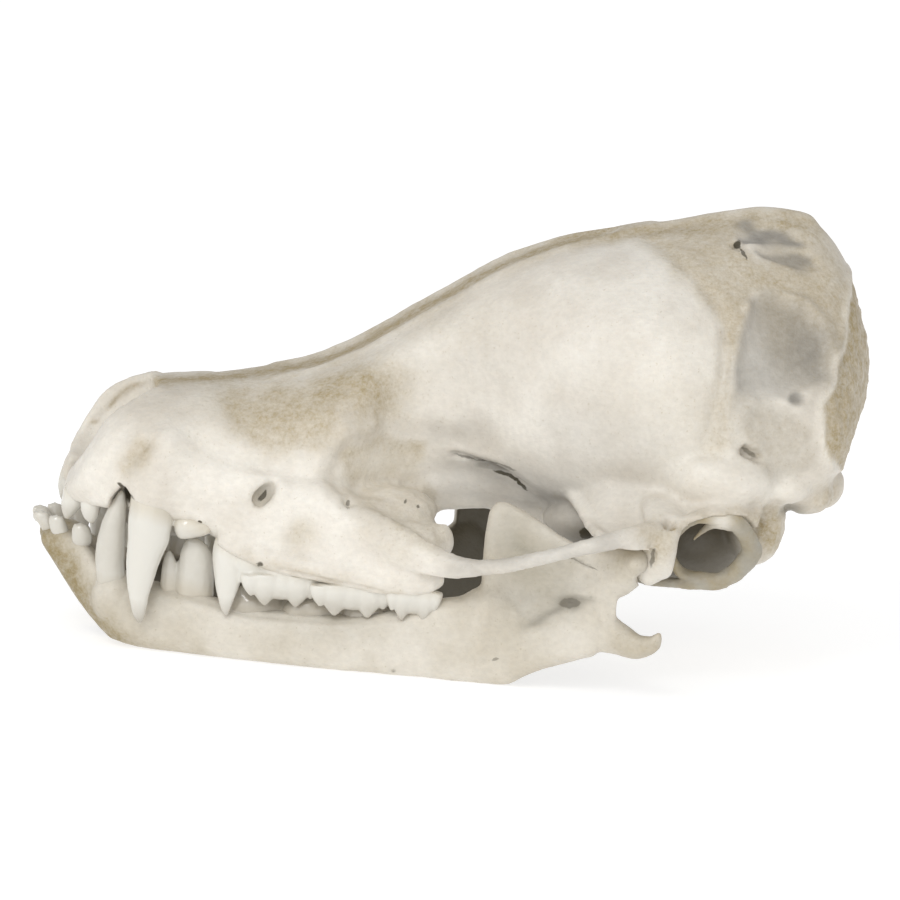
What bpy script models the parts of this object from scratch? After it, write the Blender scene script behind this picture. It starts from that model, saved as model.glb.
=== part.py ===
"""A bat skull at life size: cranium, two lower jaw bones and two ear rings, standing on its jaw.

Sizes are in millimetres and are turned to metres where a mesh is made. The snout points to -X, the skull's
left side faces -Y, and the jaw rests on z = 0. The midplane is y = 0. The tables count x from the rear
part of the tooth rows, and MIDDLE is the x that lands on the origin.
"""

import math

import bmesh
import bpy
import numpy as np
from mathutils import Matrix, Vector

MM = 0.001
MIDDLE = (0.59, 0.0, 0.0)
SIDES = {"left": -1, "right": 1}

# Colours of the dry bone: warm ivory, a paler jaw and a tan ring.
BONE_COLOUR = (0.78, 0.71, 0.57, 1.0)
JAW_COLOUR = (0.84, 0.79, 0.68, 1.0)
RING_COLOUR = (0.80, 0.71, 0.55, 1.0)
BONE_ROUGHNESS = 0.5

# The vault, from the nose to the occiput, as sections across the skull. Each row holds the place along X,
# the height of the midline, of the widest level and of the underside, the half width at the widest level, and
# the fullness of the upper and lower halves, where 2 is an ellipse, more is squarer and less is pointed.
VAULT = np.array([
    (-12.72, 5.55, 5.30, 5.00, 2.10, 2.2, 2.2),
    (-12.45, 6.10, 5.60, 4.95, 2.65, 2.6, 2.6),
    (-11.95, 7.30, 6.00, 4.90, 3.15, 3.0, 2.8),
    (-11.20, 8.40, 6.40, 4.90, 3.60, 3.0, 3.0),
    (-10.20, 8.80, 6.60, 4.90, 3.95, 3.0, 3.0),
    (-8.50, 9.12, 6.50, 4.45, 4.15, 2.9, 3.0),
    (-6.60, 9.36, 6.50, 4.25, 4.35, 2.8, 3.0),
    (-4.90, 9.76, 7.10, 4.25, 4.55, 2.8, 3.0),
    (-3.90, 10.12, 7.60, 4.30, 4.45, 3.0, 2.8),
    (-3.00, 10.52, 8.30, 4.30, 3.95, 3.1, 2.6),
    (-1.90, 11.18, 9.10, 4.40, 3.20, 3.2, 2.4),
    (-0.80, 11.94, 9.70, 4.75, 2.85, 3.2, 2.4),
    (0.30, 12.70, 10.10, 5.60, 2.95, 3.0, 2.4),
    (1.40, 13.36, 10.30, 6.10, 3.40, 2.8, 2.5),
    (2.60, 14.00, 10.30, 6.00, 4.15, 2.6, 2.7),
    (4.20, 14.60, 10.20, 5.60, 5.10, 2.5, 2.9),
    (6.00, 15.08, 10.10, 5.45, 5.90, 2.3, 3.0),
    (8.00, 15.46, 10.00, 5.35, 6.30, 2.0, 3.0),
    (9.80, 15.90, 9.80, 5.40, 6.30, 1.75, 2.8),
    (11.30, 16.08, 9.50, 5.80, 6.05, 1.55, 2.6),
    (12.40, 15.92, 9.40, 6.15, 5.95, 1.48, 2.5),
    (13.00, 15.55, 9.30, 6.35, 5.85, 1.52, 2.5),
    (13.45, 15.10, 9.20, 6.65, 5.45, 1.60, 2.4),
    (13.80, 14.50, 9.40, 7.05, 4.90, 1.70, 2.3),
    (14.05, 13.90, 9.70, 7.70, 4.20, 1.78, 2.2),
    (14.35, 13.10, 10.10, 8.40, 3.25, 1.84, 2.0),
    (14.64, 12.15, 10.50, 9.30, 2.10, 1.90, 2.0),
    (14.88, 11.15, 10.70, 10.30, 0.80, 2.00, 2.0),
])
VAULT_RINGS = 34
VAULT_AROUND = 24

# The brain's room keeps this far inside the vault, from just behind the eyes to the foramen magnum.
BRAIN_WALL = 0.50
BRAIN_ROOF_WALL = 0.68
BRAIN_FROM, BRAIN_TO = 1.6, 13.5
BRAIN_RINGS, BRAIN_AROUND = 12, 16
# The room's roof is never more pointed than this fullness.
BRAIN_ROOF_FULLNESS = 1.7
FORAMEN_CENTRE = (13.6, 0.0, 7.1)
FORAMEN_RADII = (1.9, 2.35, 1.75)
FORAMEN_TILT = math.radians(30)

# The toothed part of the upper jaw, on each side: place along X, inner and outer y, low and high z.
MAXILLA = np.array([
    (-12.78, 1.15, 1.95, 4.95, 5.50),
    (-12.30, 1.15, 2.60, 4.85, 6.00),
    (-11.40, 1.20, 3.60, 4.85, 7.20),
    (-10.40, 1.60, 4.30, 4.85, 8.00),
    (-9.30, 1.90, 4.40, 4.70, 7.90),
    (-8.00, 2.10, 4.45, 4.35, 7.40),
    (-6.50, 2.40, 4.80, 3.50, 7.00),
    (-5.00, 2.60, 5.15, 3.08, 6.70),
    (-3.70, 2.80, 5.45, 2.95, 6.40),
    (-2.40, 3.00, 5.75, 2.90, 5.80),
    (-1.30, 3.10, 5.95, 2.95, 5.45),
    (-0.40, 3.20, 5.95, 3.15, 5.35),
    (0.10, 3.60, 5.50, 3.60, 5.10),
])
MAXILLA_FULLNESS = 2.8
MAXILLA_RINGS, MAXILLA_AROUND = 16, 10

# The cheek bone: points of its centre line on the left side, with half its thickness and half its height.
ARCH = np.array([
    (-3.20, 4.90, 5.15, 0.50, 0.85),
    (-1.90, 5.65, 4.80, 0.45, 0.80),
    (-0.70, 6.30, 4.45, 0.36, 0.62),
    (0.40, 6.85, 4.27, 0.30, 0.42),
    (1.60, 7.45, 4.45, 0.27, 0.30),
    (3.20, 8.25, 5.03, 0.26, 0.26),
    (4.60, 8.56, 5.54, 0.27, 0.28),
    (5.80, 8.26, 5.80, 0.32, 0.34),
    (7.00, 7.56, 6.00, 0.40, 0.40),
])
ARCH_RINGS, ARCH_AROUND = 20, 8

# The root of the cheek bone over the jaw joint and the ear, on each side: place along X, inner and outer y,
# low and high z. Its upper side is a hollow curve, which rises from the cheek to the braincase with this
# power.
CHEEK_ROOT = np.array([
    (3.60, 2.90, 3.40, 6.72, 7.10),
    (4.30, 3.40, 4.40, 6.35, 7.30),
    (4.75, 4.00, 5.60, 5.98, 7.60),
    (5.20, 4.60, 7.20, 5.62, 7.90),
    (5.70, 5.10, 8.00, 5.54, 8.30),
    (6.30, 5.20, 8.45, 5.50, 8.60),
    (7.00, 5.30, 8.20, 5.60, 8.95),
    (7.60, 5.30, 7.95, 6.25, 9.10),
    (8.10, 5.30, 7.70, 6.80, 9.20),
    (9.00, 5.20, 7.40, 6.95, 9.20),
    (10.00, 5.00, 7.00, 6.95, 9.00),
    (11.00, 4.60, 6.30, 6.90, 8.60),
])
CHEEK_ROOT_HOLLOW = 1.8
CHEEK_ROOT_RINGS, CHEEK_ROOT_STEPS = 12, 5

# Rounded masses of the skull's underside on each side, as centre and radii: the process behind the jaw
# joint and the lip inside it, the roof over the ear, the cochlea, the mastoid and the bulge over it, the
# process beside the neck joint and the joint itself, the floor of the eye's hollow and the knob behind the
# tooth row.
MASSES = {
    "postglenoid": ((7.46, 7.42, 5.45), (0.34, 0.38, 1.05)),
    "glenoid_lip": ((6.80, 5.50, 5.40), (0.60, 0.22, 0.92)),
    "ear_roof": ((9.50, 5.95, 7.62), (1.60, 0.90, 0.55)),
    "cochlea": ((8.95, 3.05, 5.00), (2.00, 1.65, 1.60)),
    "mastoid": ((10.70, 4.25, 5.90), (0.85, 0.90, 1.45)),
    "bulge": ((11.35, 4.90, 7.30), (1.40, 0.95, 0.62)),
    "paroccipital": ((12.65, 3.90, 6.95), (1.00, 1.00, 0.75)),
    "condyle": ((13.42, 2.20, 7.10), (0.92, 0.85, 1.10)),
    "eye_floor": ((-1.75, 3.30, 5.45), (1.75, 1.45, 0.80)),
    "back_knob": ((0.00, 4.85, 4.75), (0.50, 0.55, 0.62)),
}
MASS_SEGMENTS, MASS_RINGS = 12, 7

# The wall between the eyes and the floor of the braincase, along the midline: place along X, middle y, half
# thickness, low and high z.
KEEL = np.array([
    (-2.60, 0.0, 2.20, 4.45, 7.00),
    (-0.80, 0.0, 2.30, 4.85, 7.40),
    (0.60, 0.0, 2.25, 5.25, 7.40),
    (2.00, 0.0, 2.30, 5.45, 7.20),
    (3.40, 0.0, 2.60, 5.30, 6.90),
    (4.60, 0.0, 3.20, 4.95, 6.60),
    (6.50, 0.0, 2.60, 4.85, 6.30),
    (10.50, 0.0, 1.60, 5.60, 6.50),
    (12.70, 0.0, 2.10, 6.05, 7.05),
])
KEEL_FULLNESS = 2.6
KEEL_RINGS, KEEL_AROUND = 12, 12
# The plates behind the palate, on each side, in the same order.
PTERYGOID = np.array([
    (-0.60, 1.95, 0.26, 4.65, 5.90),
    (0.50, 1.85, 0.26, 5.20, 6.10),
    (1.80, 1.70, 0.26, 5.25, 6.20),
    (3.00, 1.65, 0.26, 4.60, 6.10),
    (4.10, 1.75, 0.26, 4.15, 4.85),
])
PTERYGOID_FULLNESS = 3.0
PTERYGOID_RINGS, PTERYGOID_AROUND = 10, 10

# The nasal opening is a slanted oval, and the palate has a notch between the two premaxillae.
NOSE_CENTRE = (-12.05, 0.0, 7.55)
NOSE_RADII = (1.55, 2.15, 2.45)
NOSE_TILT = math.radians(38)
NOTCH_CENTRE, NOTCH_RADII = (-11.75, 0.0, 5.60), (1.85, 0.95, 1.60)

# The pit between the upper canine and the incisors that takes the tip of the lower canine, on each side.
TIP_PIT_CENTRE = (-11.08, 3.25, 4.95)
TIP_PIT_RADII = (0.66, 1.20, 1.05)

# The opening in front of the eye, on each side, leans down and forwards.
INFRAORBITAL_CENTRE = (-6.14, 4.80, 6.04)
INFRAORBITAL_RADII = (0.22, 0.70, 0.58)
INFRAORBITAL_TILT = math.radians(45)
HOLE_SEGMENTS, HOLE_RINGS = 10, 6
OPENING_SEGMENTS, OPENING_RINGS = 18, 10

# The sagittal crest, along the top of the midline: place along X and height above the vault.
CREST = np.array([
    (5.00, -0.10),
    (6.50, 0.08),
    (8.50, 0.20),
    (10.50, 0.16),
    (12.60, 0.04),
])
CREST_HALF_WIDTH = 0.28
CREST_DEPTH = 1.2
CREST_FULLNESS = 2.0
CREST_RINGS, CREST_AROUND = 18, 8

# The lower jaw bone, on each side: place along X, y of its middle, half thickness, low and high z.
JAW = np.array([
    (-13.48, 0.58, 0.38, 3.05, 3.45),
    (-13.00, 0.80, 0.62, 2.35, 3.70),
    (-12.28, 1.06, 0.88, 1.45, 3.60),
    (-11.55, 1.42, 1.20, 0.68, 3.00),
    (-10.80, 1.90, 1.30, 0.14, 2.40),
    (-9.80, 2.55, 1.05, 0.00, 2.35),
    (-8.50, 3.10, 0.82, 0.00, 2.25),
    (-6.40, 3.82, 0.74, 0.00, 1.85),
    (-3.60, 4.50, 0.70, 0.00, 1.90),
    (-0.80, 5.05, 0.66, 0.00, 2.25),
    (0.80, 5.40, 0.60, 0.00, 2.85),
    (2.00, 5.70, 0.50, 0.00, 3.60),
    (2.45, 5.80, 0.46, 0.02, 3.30),
    (3.20, 5.98, 0.42, 0.46, 2.60),
    (4.60, 6.35, 0.42, 1.12, 2.60),
    (5.40, 6.60, 0.40, 1.42, 2.60),
])
JAW_FULLNESS = 2.8
JAW_RINGS, JAW_AROUND = 22, 10

# The upright blade behind the teeth, and its low and high edges.
RAMUS = np.array([
    (1.35, 5.58, 0.28, 1.00, 5.10),
    (1.50, 5.60, 0.30, 0.60, 6.05),
    (1.90, 5.68, 0.28, 0.50, 6.40),
    (2.40, 5.80, 0.26, 0.60, 6.28),
    (3.20, 6.00, 0.26, 0.85, 5.88),
    (4.20, 6.30, 0.26, 1.30, 5.33),
    (4.90, 6.52, 0.27, 1.60, 5.08),
    (5.60, 6.75, 0.28, 1.90, 5.00),
    (6.00, 6.88, 0.26, 2.60, 4.95),
])
RAMUS_FULLNESS = 5.0
RAMUS_RINGS, RAMUS_AROUND = 12, 10

CONDYLE_CENTRE, CONDYLE_RADII = (6.40, 7.00, 4.80), (0.42, 0.92, 0.42)
CONDYLE_NECK = np.array([
    (5.10, 6.62, 4.25, 0.26, 0.74),
    (5.80, 6.82, 4.32, 0.32, 0.80),
    (6.36, 7.00, 4.70, 0.40, 0.48),
])
# The swelling round the root of the lower canine.
CANINE_SOCKET_CENTRE, CANINE_SOCKET_RADII = (-11.00, 2.50, 1.75), (0.80, 0.72, 1.00)
# The hooked angular process.
HOOK = np.array([
    (4.60, 6.35, 2.10, 0.38, 0.80),
    (5.50, 6.60, 2.25, 0.38, 0.78),
    (6.10, 6.90, 2.10, 0.38, 0.60),
    (6.80, 7.30, 1.90, 0.36, 0.42),
    (7.25, 7.60, 2.08, 0.28, 0.32),
    (7.50, 7.80, 2.50, 0.10, 0.12),
])
TUBE_AROUND = 8
NECK_RINGS, HOOK_RINGS, BAR_RINGS = 6, 12, 7

# The ring of the ear: centre, how far it leans, its inner radius, and half its thickness outwards and
# inwards.
RING_CENTRE = (9.06, 6.32, 5.20)
RING_LEAN = math.radians(24)
RING_RADIUS = 1.12
RING_HALF_THICKNESS = (0.25, 0.30)
RING_STEPS, RING_AROUND = 24, 8
# The bar that runs forwards from the foot of the ring.
RING_BAR = np.array([
    (9.40, 5.72, 3.92, 0.26, 0.24),
    (8.60, 5.70, 3.88, 0.26, 0.23),
    (7.60, 5.66, 3.90, 0.25, 0.21),
    (6.75, 5.60, 3.98, 0.20, 0.18),
])

# Upper teeth with one point, on each side: root end, tip, half length and half width of the crown.
UPPER_PEGS = {
    "incisor_inner": ((-12.38, 1.72, 5.90), (-12.76, 1.45, 4.20), 0.46, 0.42),
    "incisor_outer": ((-11.90, 2.18, 5.60), (-11.92, 2.30, 4.20), 0.35, 0.31),
    "canine": ((-9.92, 3.76, 5.90), (-10.12, 4.10, 1.15), 0.82, 0.66),
    "premolar_small": ((-8.50, 3.80, 5.20), (-8.70, 4.05, 4.25), 0.60, 0.40),
    "premolar_large": ((-7.05, 3.98, 4.60), (-7.19, 4.44, 1.62), 0.70, 0.46),
    "premolar_blade": ((-6.50, 4.22, 4.20), (-6.38, 4.56, 2.85), 0.62, 0.38),
}
# Lower teeth with one point, on each side.
LOWER_PEGS = {
    "incisor_first": ((-12.96, 0.58, 3.20), (-13.66, 0.52, 4.14), 0.34, 0.30),
    "incisor_second": ((-12.72, 1.10, 3.20), (-13.12, 1.10, 4.12), 0.32, 0.30),
    "incisor_third": ((-12.22, 1.58, 3.10), (-12.40, 1.70, 4.00), 0.34, 0.30),
    "canine": ((-11.14, 2.60, 1.50), (-10.98, 2.98, 5.56), 0.60, 0.50),
    "premolar_small": ((-9.12, 3.00, 1.90), (-9.20, 3.20, 3.58), 0.36, 0.34),
    "premolar_large": ((-8.18, 3.18, 1.70), (-8.35, 3.40, 4.12), 0.66, 0.48),
}
PEG_RINGS, PEG_AROUND = 5, 8
PEG_BLUNTNESS = 1.9
PEG_TIP = 0.06
PEG_FULLNESS = 2.2

# Molars, front to back: x of the middle, y of the outer edge, length and height of the crown's rim, and z
# of the outer tips. Upper crowns hang down, with two outer points and one inner.
UPPER_MOLARS = [
    (-5.37, 5.12, 2.30, 3.55, 2.24),
    (-2.95, 5.65, 2.40, 3.40, 2.10),
    (-0.85, 5.98, 1.60, 3.40, 2.12),
]
LOWER_MOLARS = [
    (-6.15, 3.72, 2.05, 1.45, 2.66),
    (-4.15, 4.14, 2.10, 1.45, 2.60),
    (-2.20, 4.48, 1.95, 1.50, 2.58),
]
# The cushion of a molar: its radii, the first as a share of the length, how far its middle lies in from the
# outer edge and above the rim, and the way its points go.
UPPER_CROWN = {"radii": (0.48, 0.88, 0.56), "inwards": 0.92, "above": -0.10, "way": -1}
LOWER_CROWN = {"radii": (0.49, 0.54, 0.62), "inwards": 0.0, "above": 0.37, "way": 1}
# The points of a molar: place along the crown as a share of the length, distance in from the outer edge,
# how much shorter than the longest, half its length as a share of the molar's, and half its width.
UPPER_POINTS = [
    (-0.235, 0.34, 0.0, 0.27, 0.38),
    (0.235, 0.34, 0.0, 0.27, 0.38),
    (0.0, 1.45, 0.55, 0.30, 0.40),
]
LOWER_POINTS = [
    (-0.25, -0.14, 0.0, 0.26, 0.34),
    (0.25, -0.14, 0.12, 0.26, 0.34),
    (0.0, 0.30, 0.20, 0.34, 0.30),
]
CROWN_SEGMENTS, CROWN_RINGS = 10, 6


def smooth_curve(knots, values, at):
    """A monotone cubic through the knots, which never swells between two stations."""
    gaps = np.diff(knots)
    slopes = np.diff(values) / gaps
    tangents = np.concatenate([slopes[:1], np.zeros(len(gaps) - 1), slopes[-1:]])
    before, after = slopes[:-1], slopes[1:]
    same = before * after > 0
    first, second = 2 * gaps[1:] + gaps[:-1], gaps[1:] + 2 * gaps[:-1]
    safe_before, safe_after = np.where(same, before, 1.0), np.where(same, after, 1.0)
    tangents[1:-1] = np.where(same, (first + second) / (first / safe_before + second / safe_after), 0.0)
    i = np.clip(np.searchsorted(knots, at, side="right") - 1, 0, len(gaps) - 1)
    t = (at - knots[i]) / gaps[i]
    return (
        values[i] * (2 * t**3 - 3 * t**2 + 1)
        + values[i + 1] * (3 * t**2 - 2 * t**3)
        + gaps[i] * (tangents[i] * (t**3 - 2 * t**2 + t) + tangents[i + 1] * (t**3 - t**2))
    )


def spread(table, count):
    """The columns of a station table at this many places, set closer where its rows are closer."""
    rows = np.linspace(0, len(table) - 1, count)
    at = np.interp(rows, np.arange(len(table)), table[:, 0])
    return at, [smooth_curve(table[:, 0], table[:, c], at) for c in range(1, table.shape[1])]


def oval(half_width, up, down, full_up, full_down, around):
    """Rings of offsets (sideways, upwards): a superellipse whose upper and lower halves differ.

    Its top and bottom are short flats at the full reach.
    """
    angle = 2 * np.pi * (np.arange(around) + 0.5) / around
    cos, sin = np.cos(angle)[None, :], np.sin(angle)[None, :]
    full = np.where(sin > 0, full_up[:, None], full_down[:, None])
    reach = np.where(sin > 0, up[:, None], down[:, None])
    rise = (np.abs(sin) / np.abs(sin).max()) ** (2 / full)
    sideways = half_width[:, None] * np.sign(cos) * np.abs(cos) ** (2 / full)
    return sideways, reach * np.sign(sin) * rise


def skin(name, rings):
    """A closed mesh through rings of points, each end drawn to the middle of its ring."""
    count, around = rings.shape[:2]
    points = np.concatenate([rings.reshape(-1, 3), [rings[0].mean(axis=0), rings[-1].mean(axis=0)]])
    faces = []
    for i in range(count - 1):
        for j in range(around):
            k = (j + 1) % around
            faces.append((i * around + j, i * around + k, (i + 1) * around + k, (i + 1) * around + j))
    for j in range(around):
        k = (j + 1) % around
        faces.append((count * around, k, j))
        faces.append((count * around + 1, (count - 1) * around + j, (count - 1) * around + k))
    mesh = bpy.data.meshes.new(name)
    mesh.from_pydata([tuple(point) for point in (points - MIDDLE) * MM], [], faces)
    return closed_object(name, mesh)


def closed_object(name, mesh):
    """An object of this mesh, linked to the scene, with its faces turned outwards."""
    shape = bmesh.new()
    shape.from_mesh(mesh)
    bmesh.ops.recalc_face_normals(shape, faces=shape.faces)
    if shape.calc_volume(signed=True) < 0:
        bmesh.ops.reverse_faces(shape, faces=shape.faces)
    shape.to_mesh(mesh)
    shape.free()
    made = bpy.data.objects.new(name, mesh)
    bpy.context.scene.collection.objects.link(made)
    return made


def ball(name, centre, radii, turn=None, segments=MASS_SEGMENTS, rings=MASS_RINGS):
    """An ellipsoid from a sphere primitive."""
    shape = bmesh.new()
    bmesh.ops.create_uvsphere(shape, u_segments=segments, v_segments=rings, radius=1.0)
    size = Matrix.Diagonal((*(radius * MM for radius in radii), 1.0))
    place = Matrix.Translation((Vector(centre) - Vector(MIDDLE)) * MM) @ (turn or Matrix.Identity(4)) @ size
    bmesh.ops.transform(shape, matrix=place, verts=shape.verts)
    mesh = bpy.data.meshes.new(name)
    shape.to_mesh(mesh)
    shape.free()
    return closed_object(name, mesh)


def beam(name, table, fullness, rings, around, side):
    """A piece along X from rows of (x, middle y, half thickness, low z, high z)."""
    at, (middle, half, low, high) = spread(table, rings)
    reach = (high - low) / 2
    full = np.full(rings, fullness)
    sideways, upwards = oval(half, reach, reach, full, full, around)
    x = np.repeat(at[:, None], around, axis=1)
    y = side * (middle[:, None] + sideways)
    return skin(name, np.stack([x, y, (low + reach)[:, None] + upwards], axis=2))


def tube(name, table, rings, around, side, fullness=2.0):
    """A bent tube along rows of (x, y, z, half thickness, half height), with its height kept upright."""
    steps = np.concatenate([[0], np.cumsum(np.linalg.norm(np.diff(table[:, :3], axis=0), axis=1))])
    at = np.linspace(0, steps[-1], rings)
    x, y, z, half, reach = (smooth_curve(steps, table[:, c], at) for c in range(5))
    line = np.stack([x, y, z], axis=1)
    along = np.gradient(line, axis=0)
    along /= np.linalg.norm(along, axis=1)[:, None]
    across = np.cross(along, (0.0, 0.0, 1.0))
    across /= np.linalg.norm(across, axis=1)[:, None]
    upright = np.cross(across, along)
    full = np.full(rings, fullness)
    sideways, upwards = oval(half, reach, reach, full, full, around)
    points = line[:, None] + sideways[..., None] * across[:, None] + upwards[..., None] * upright[:, None]
    return skin(name, points * (1, side, 1))


def peg(name, root, tip, half_length, half_width, side):
    """A tooth with one point: a cone from root to tip that narrows fastest near the tip."""
    t = np.linspace(0, 1, PEG_RINGS)
    line = np.outer(1 - t, root) + np.outer(t, tip)
    taper = (1 - PEG_TIP) * (1 - t**PEG_BLUNTNESS) + PEG_TIP
    full = np.full(PEG_RINGS, PEG_FULLNESS)
    width = half_width * taper
    along, across = oval(half_length * taper, width, width, full, full, PEG_AROUND)
    level = np.repeat(line[:, None, 2], PEG_AROUND, axis=1)
    points = np.stack([line[:, None, 0] + along, line[:, None, 1] + across, level], axis=2)
    return skin(name, points * (1, side, 1))


def fuse(base, pieces, operation="UNION"):
    """One Boolean of base with all the pieces, applied, and the pieces then removed."""
    group = bpy.data.collections.new("pieces")
    for piece in pieces:
        group.objects.link(piece)
    join = base.modifiers.new("join", "BOOLEAN")
    join.operation = operation
    join.solver = "MANIFOLD"
    join.operand_type = "COLLECTION"
    join.collection = group
    graph = bpy.context.evaluated_depsgraph_get()
    joined = bpy.data.meshes.new_from_object(base.evaluated_get(graph))
    base.modifiers.remove(join)
    for piece in pieces:
        bpy.data.objects.remove(piece)
    bpy.data.collections.remove(group)
    base.data = joined
    keep_largest_surface(base)
    return base


def keep_largest_surface(thing):
    """Leaves the closed surface that holds the most and drops loose scraps and sealed hollows."""
    shape = bmesh.new()
    shape.from_mesh(thing.data)
    waiting = set(shape.faces)
    surfaces = []
    while waiting:
        front = [waiting.pop()]
        found = list(front)
        while front:
            near = {face for edge in front.pop().edges for face in edge.link_faces} & waiting
            waiting -= near
            found += near
            front += near
        surfaces.append(found)
    surfaces.sort(key=surface_size)
    loose = [face for found in surfaces[:-1] for face in found]
    bmesh.ops.delete(shape, geom=loose, context="FACES")
    shape.to_mesh(thing.data)
    shape.free()


def surface_size(faces):
    """The signed volume under the faces."""
    total = 0.0
    for face in faces:
        corners = [vert.co for vert in face.verts]
        for second, third in zip(corners[1:-1], corners[2:]):
            total += corners[0].dot(second.cross(third)) / 6
    return total


def bone_material(name, colour):
    """Dry bone of this colour."""
    made = bpy.data.materials.new(name)
    made.use_nodes = True
    shader = made.node_tree.nodes["Principled BSDF"]
    shader.inputs["Base Color"].default_value = colour
    shader.inputs["Roughness"].default_value = BONE_ROUGHNESS
    shader.inputs["Metallic"].default_value = 0.0
    return made


def vault(name):
    """The skull's main shell."""
    at, (top, middle, under, half, full_up, full_down) = spread(VAULT, VAULT_RINGS)
    sideways, upwards = oval(half, top - middle, middle - under, full_up, full_down, VAULT_AROUND)
    x = np.repeat(at[:, None], VAULT_AROUND, axis=1)
    return skin(name, np.stack([x, sideways, middle[:, None] + upwards], axis=2))


def brain_room():
    """The room inside the vault, rounded off towards both of its ends."""
    at = np.linspace(BRAIN_FROM, BRAIN_TO, BRAIN_RINGS)
    columns = (smooth_curve(VAULT[:, 0], VAULT[:, column], at) for column in range(1, 7))
    top, middle, under, half, full_up, full_down = columns
    ease = np.sqrt(np.clip(1 - np.linspace(-1, 1, BRAIN_RINGS) ** 4, 0.02, 1))
    up, down = (top - middle - BRAIN_ROOF_WALL) * ease, (middle - under - BRAIN_WALL) * ease
    full_up = np.maximum(full_up, BRAIN_ROOF_FULLNESS)
    sideways, upwards = oval((half - BRAIN_WALL) * ease, up, down, full_up, full_down, BRAIN_AROUND)
    x = np.repeat(at[:, None], BRAIN_AROUND, axis=1)
    return skin("brain", np.stack([x, sideways, middle[:, None] + upwards], axis=2))


def cheek_root(side):
    """The wedge that joins the cheek bone to the braincase, flat below and inside and hollow above."""
    at, (inner, outer, low, high) = spread(CHEEK_ROOT, CHEEK_ROOT_RINGS)
    s = np.linspace(0, 1, CHEEK_ROOT_STEPS)
    across = np.concatenate([(1 - s) ** CHEEK_ROOT_HOLLOW, 0 * s[1:], s[1:-1]])
    upwards = np.concatenate([s**CHEEK_ROOT_HOLLOW, 1 - s[1:], 0 * s[1:-1]])
    y = inner[:, None] + (outer - inner)[:, None] * across
    z = low[:, None] + (high - low)[:, None] * upwards
    x = np.repeat(at[:, None], y.shape[1], axis=1)
    return skin("cheek_root", np.stack([x, side * y, z], axis=2))


def maxilla(side):
    """The toothed part of the upper jaw."""
    table = np.stack([
        MAXILLA[:, 0],
        (MAXILLA[:, 1] + MAXILLA[:, 2]) / 2,
        (MAXILLA[:, 2] - MAXILLA[:, 1]) / 2,
        MAXILLA[:, 3],
        MAXILLA[:, 4],
    ], axis=1)
    return beam("maxilla", table, MAXILLA_FULLNESS, MAXILLA_RINGS, MAXILLA_AROUND, side)


def pterygoid(side):
    """The thin plate behind the palate."""
    return beam("pterygoid", PTERYGOID, PTERYGOID_FULLNESS, PTERYGOID_RINGS, PTERYGOID_AROUND, side)


def sagittal_crest():
    """The low ridge along the top, rooted in the vault."""
    top = smooth_curve(VAULT[:, 0], VAULT[:, 1], CREST[:, 0])
    half = np.full(len(CREST), CREST_HALF_WIDTH)
    table = np.stack([CREST[:, 0], 0 * half, half, top - CREST_DEPTH, top + CREST[:, 1]], axis=1)
    return beam("sagittal_crest", table, CREST_FULLNESS, CREST_RINGS, CREST_AROUND, 1)


def molar(row, crown, points, side):
    """A molar: a low cushion with two outer points and an inner one."""
    middle, outer, length, rim, tip = row
    radii = (length * crown["radii"][0], *crown["radii"][1:])
    centre = (middle, side * (outer - crown["inwards"]), rim + crown["above"])
    pieces = [ball("crown", centre, radii, segments=CROWN_SEGMENTS, rings=CROWN_RINGS)]
    for along, inwards, shorter, half_length, half_width in points:
        x, y, end = middle + along * length, outer - inwards, tip - crown["way"] * shorter
        pieces.append(peg("point", (x, y, rim), (x, y, end), half_length * length, half_width, side))
    return pieces


def cranium(material):
    """Braincase, snout, cheek bones and upper teeth, which are one bone in the grown animal."""
    pieces = [beam("keel", KEEL, KEEL_FULLNESS, KEEL_RINGS, KEEL_AROUND, 1), sagittal_crest()]
    teeth = []
    for side in SIDES.values():
        pieces += [maxilla(side), cheek_root(side), tube("arch", ARCH, ARCH_RINGS, ARCH_AROUND, side)]
        pieces.append(pterygoid(side))
        for name, (centre, radii) in MASSES.items():
            pieces.append(ball(name, (centre[0], side * centre[1], centre[2]), radii))
        for name, row in UPPER_PEGS.items():
            teeth.append(peg(name, *row, side))
        for row in UPPER_MOLARS:
            teeth += molar(row, UPPER_CROWN, UPPER_POINTS, side)
    made = fuse(vault("cranium"), pieces)
    opening = {"segments": OPENING_SEGMENTS, "rings": OPENING_RINGS}
    hole = {"segments": HOLE_SEGMENTS, "rings": HOLE_RINGS}
    cutters = [
        brain_room(),
        ball("foramen", FORAMEN_CENTRE, FORAMEN_RADII, Matrix.Rotation(FORAMEN_TILT, 4, "Y"), **opening),
        ball("nose", NOSE_CENTRE, NOSE_RADII, Matrix.Rotation(NOSE_TILT, 4, "Y"), **opening),
        ball("notch", NOTCH_CENTRE, NOTCH_RADII, **opening),
    ]
    for side in SIDES.values():
        x, y, z = INFRAORBITAL_CENTRE
        turn = Matrix.Rotation(INFRAORBITAL_TILT, 4, "Y")
        cutters.append(ball("infraorbital", (x, side * y, z), INFRAORBITAL_RADII, turn, **hole))
        x, y, z = TIP_PIT_CENTRE
        cutters.append(ball("tip_pit", (x, side * y, z), TIP_PIT_RADII, **hole))
    fuse(made, cutters, "DIFFERENCE")
    fuse(made, teeth)
    made.data.materials.clear()
    made.data.materials.append(material)
    return made


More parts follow.
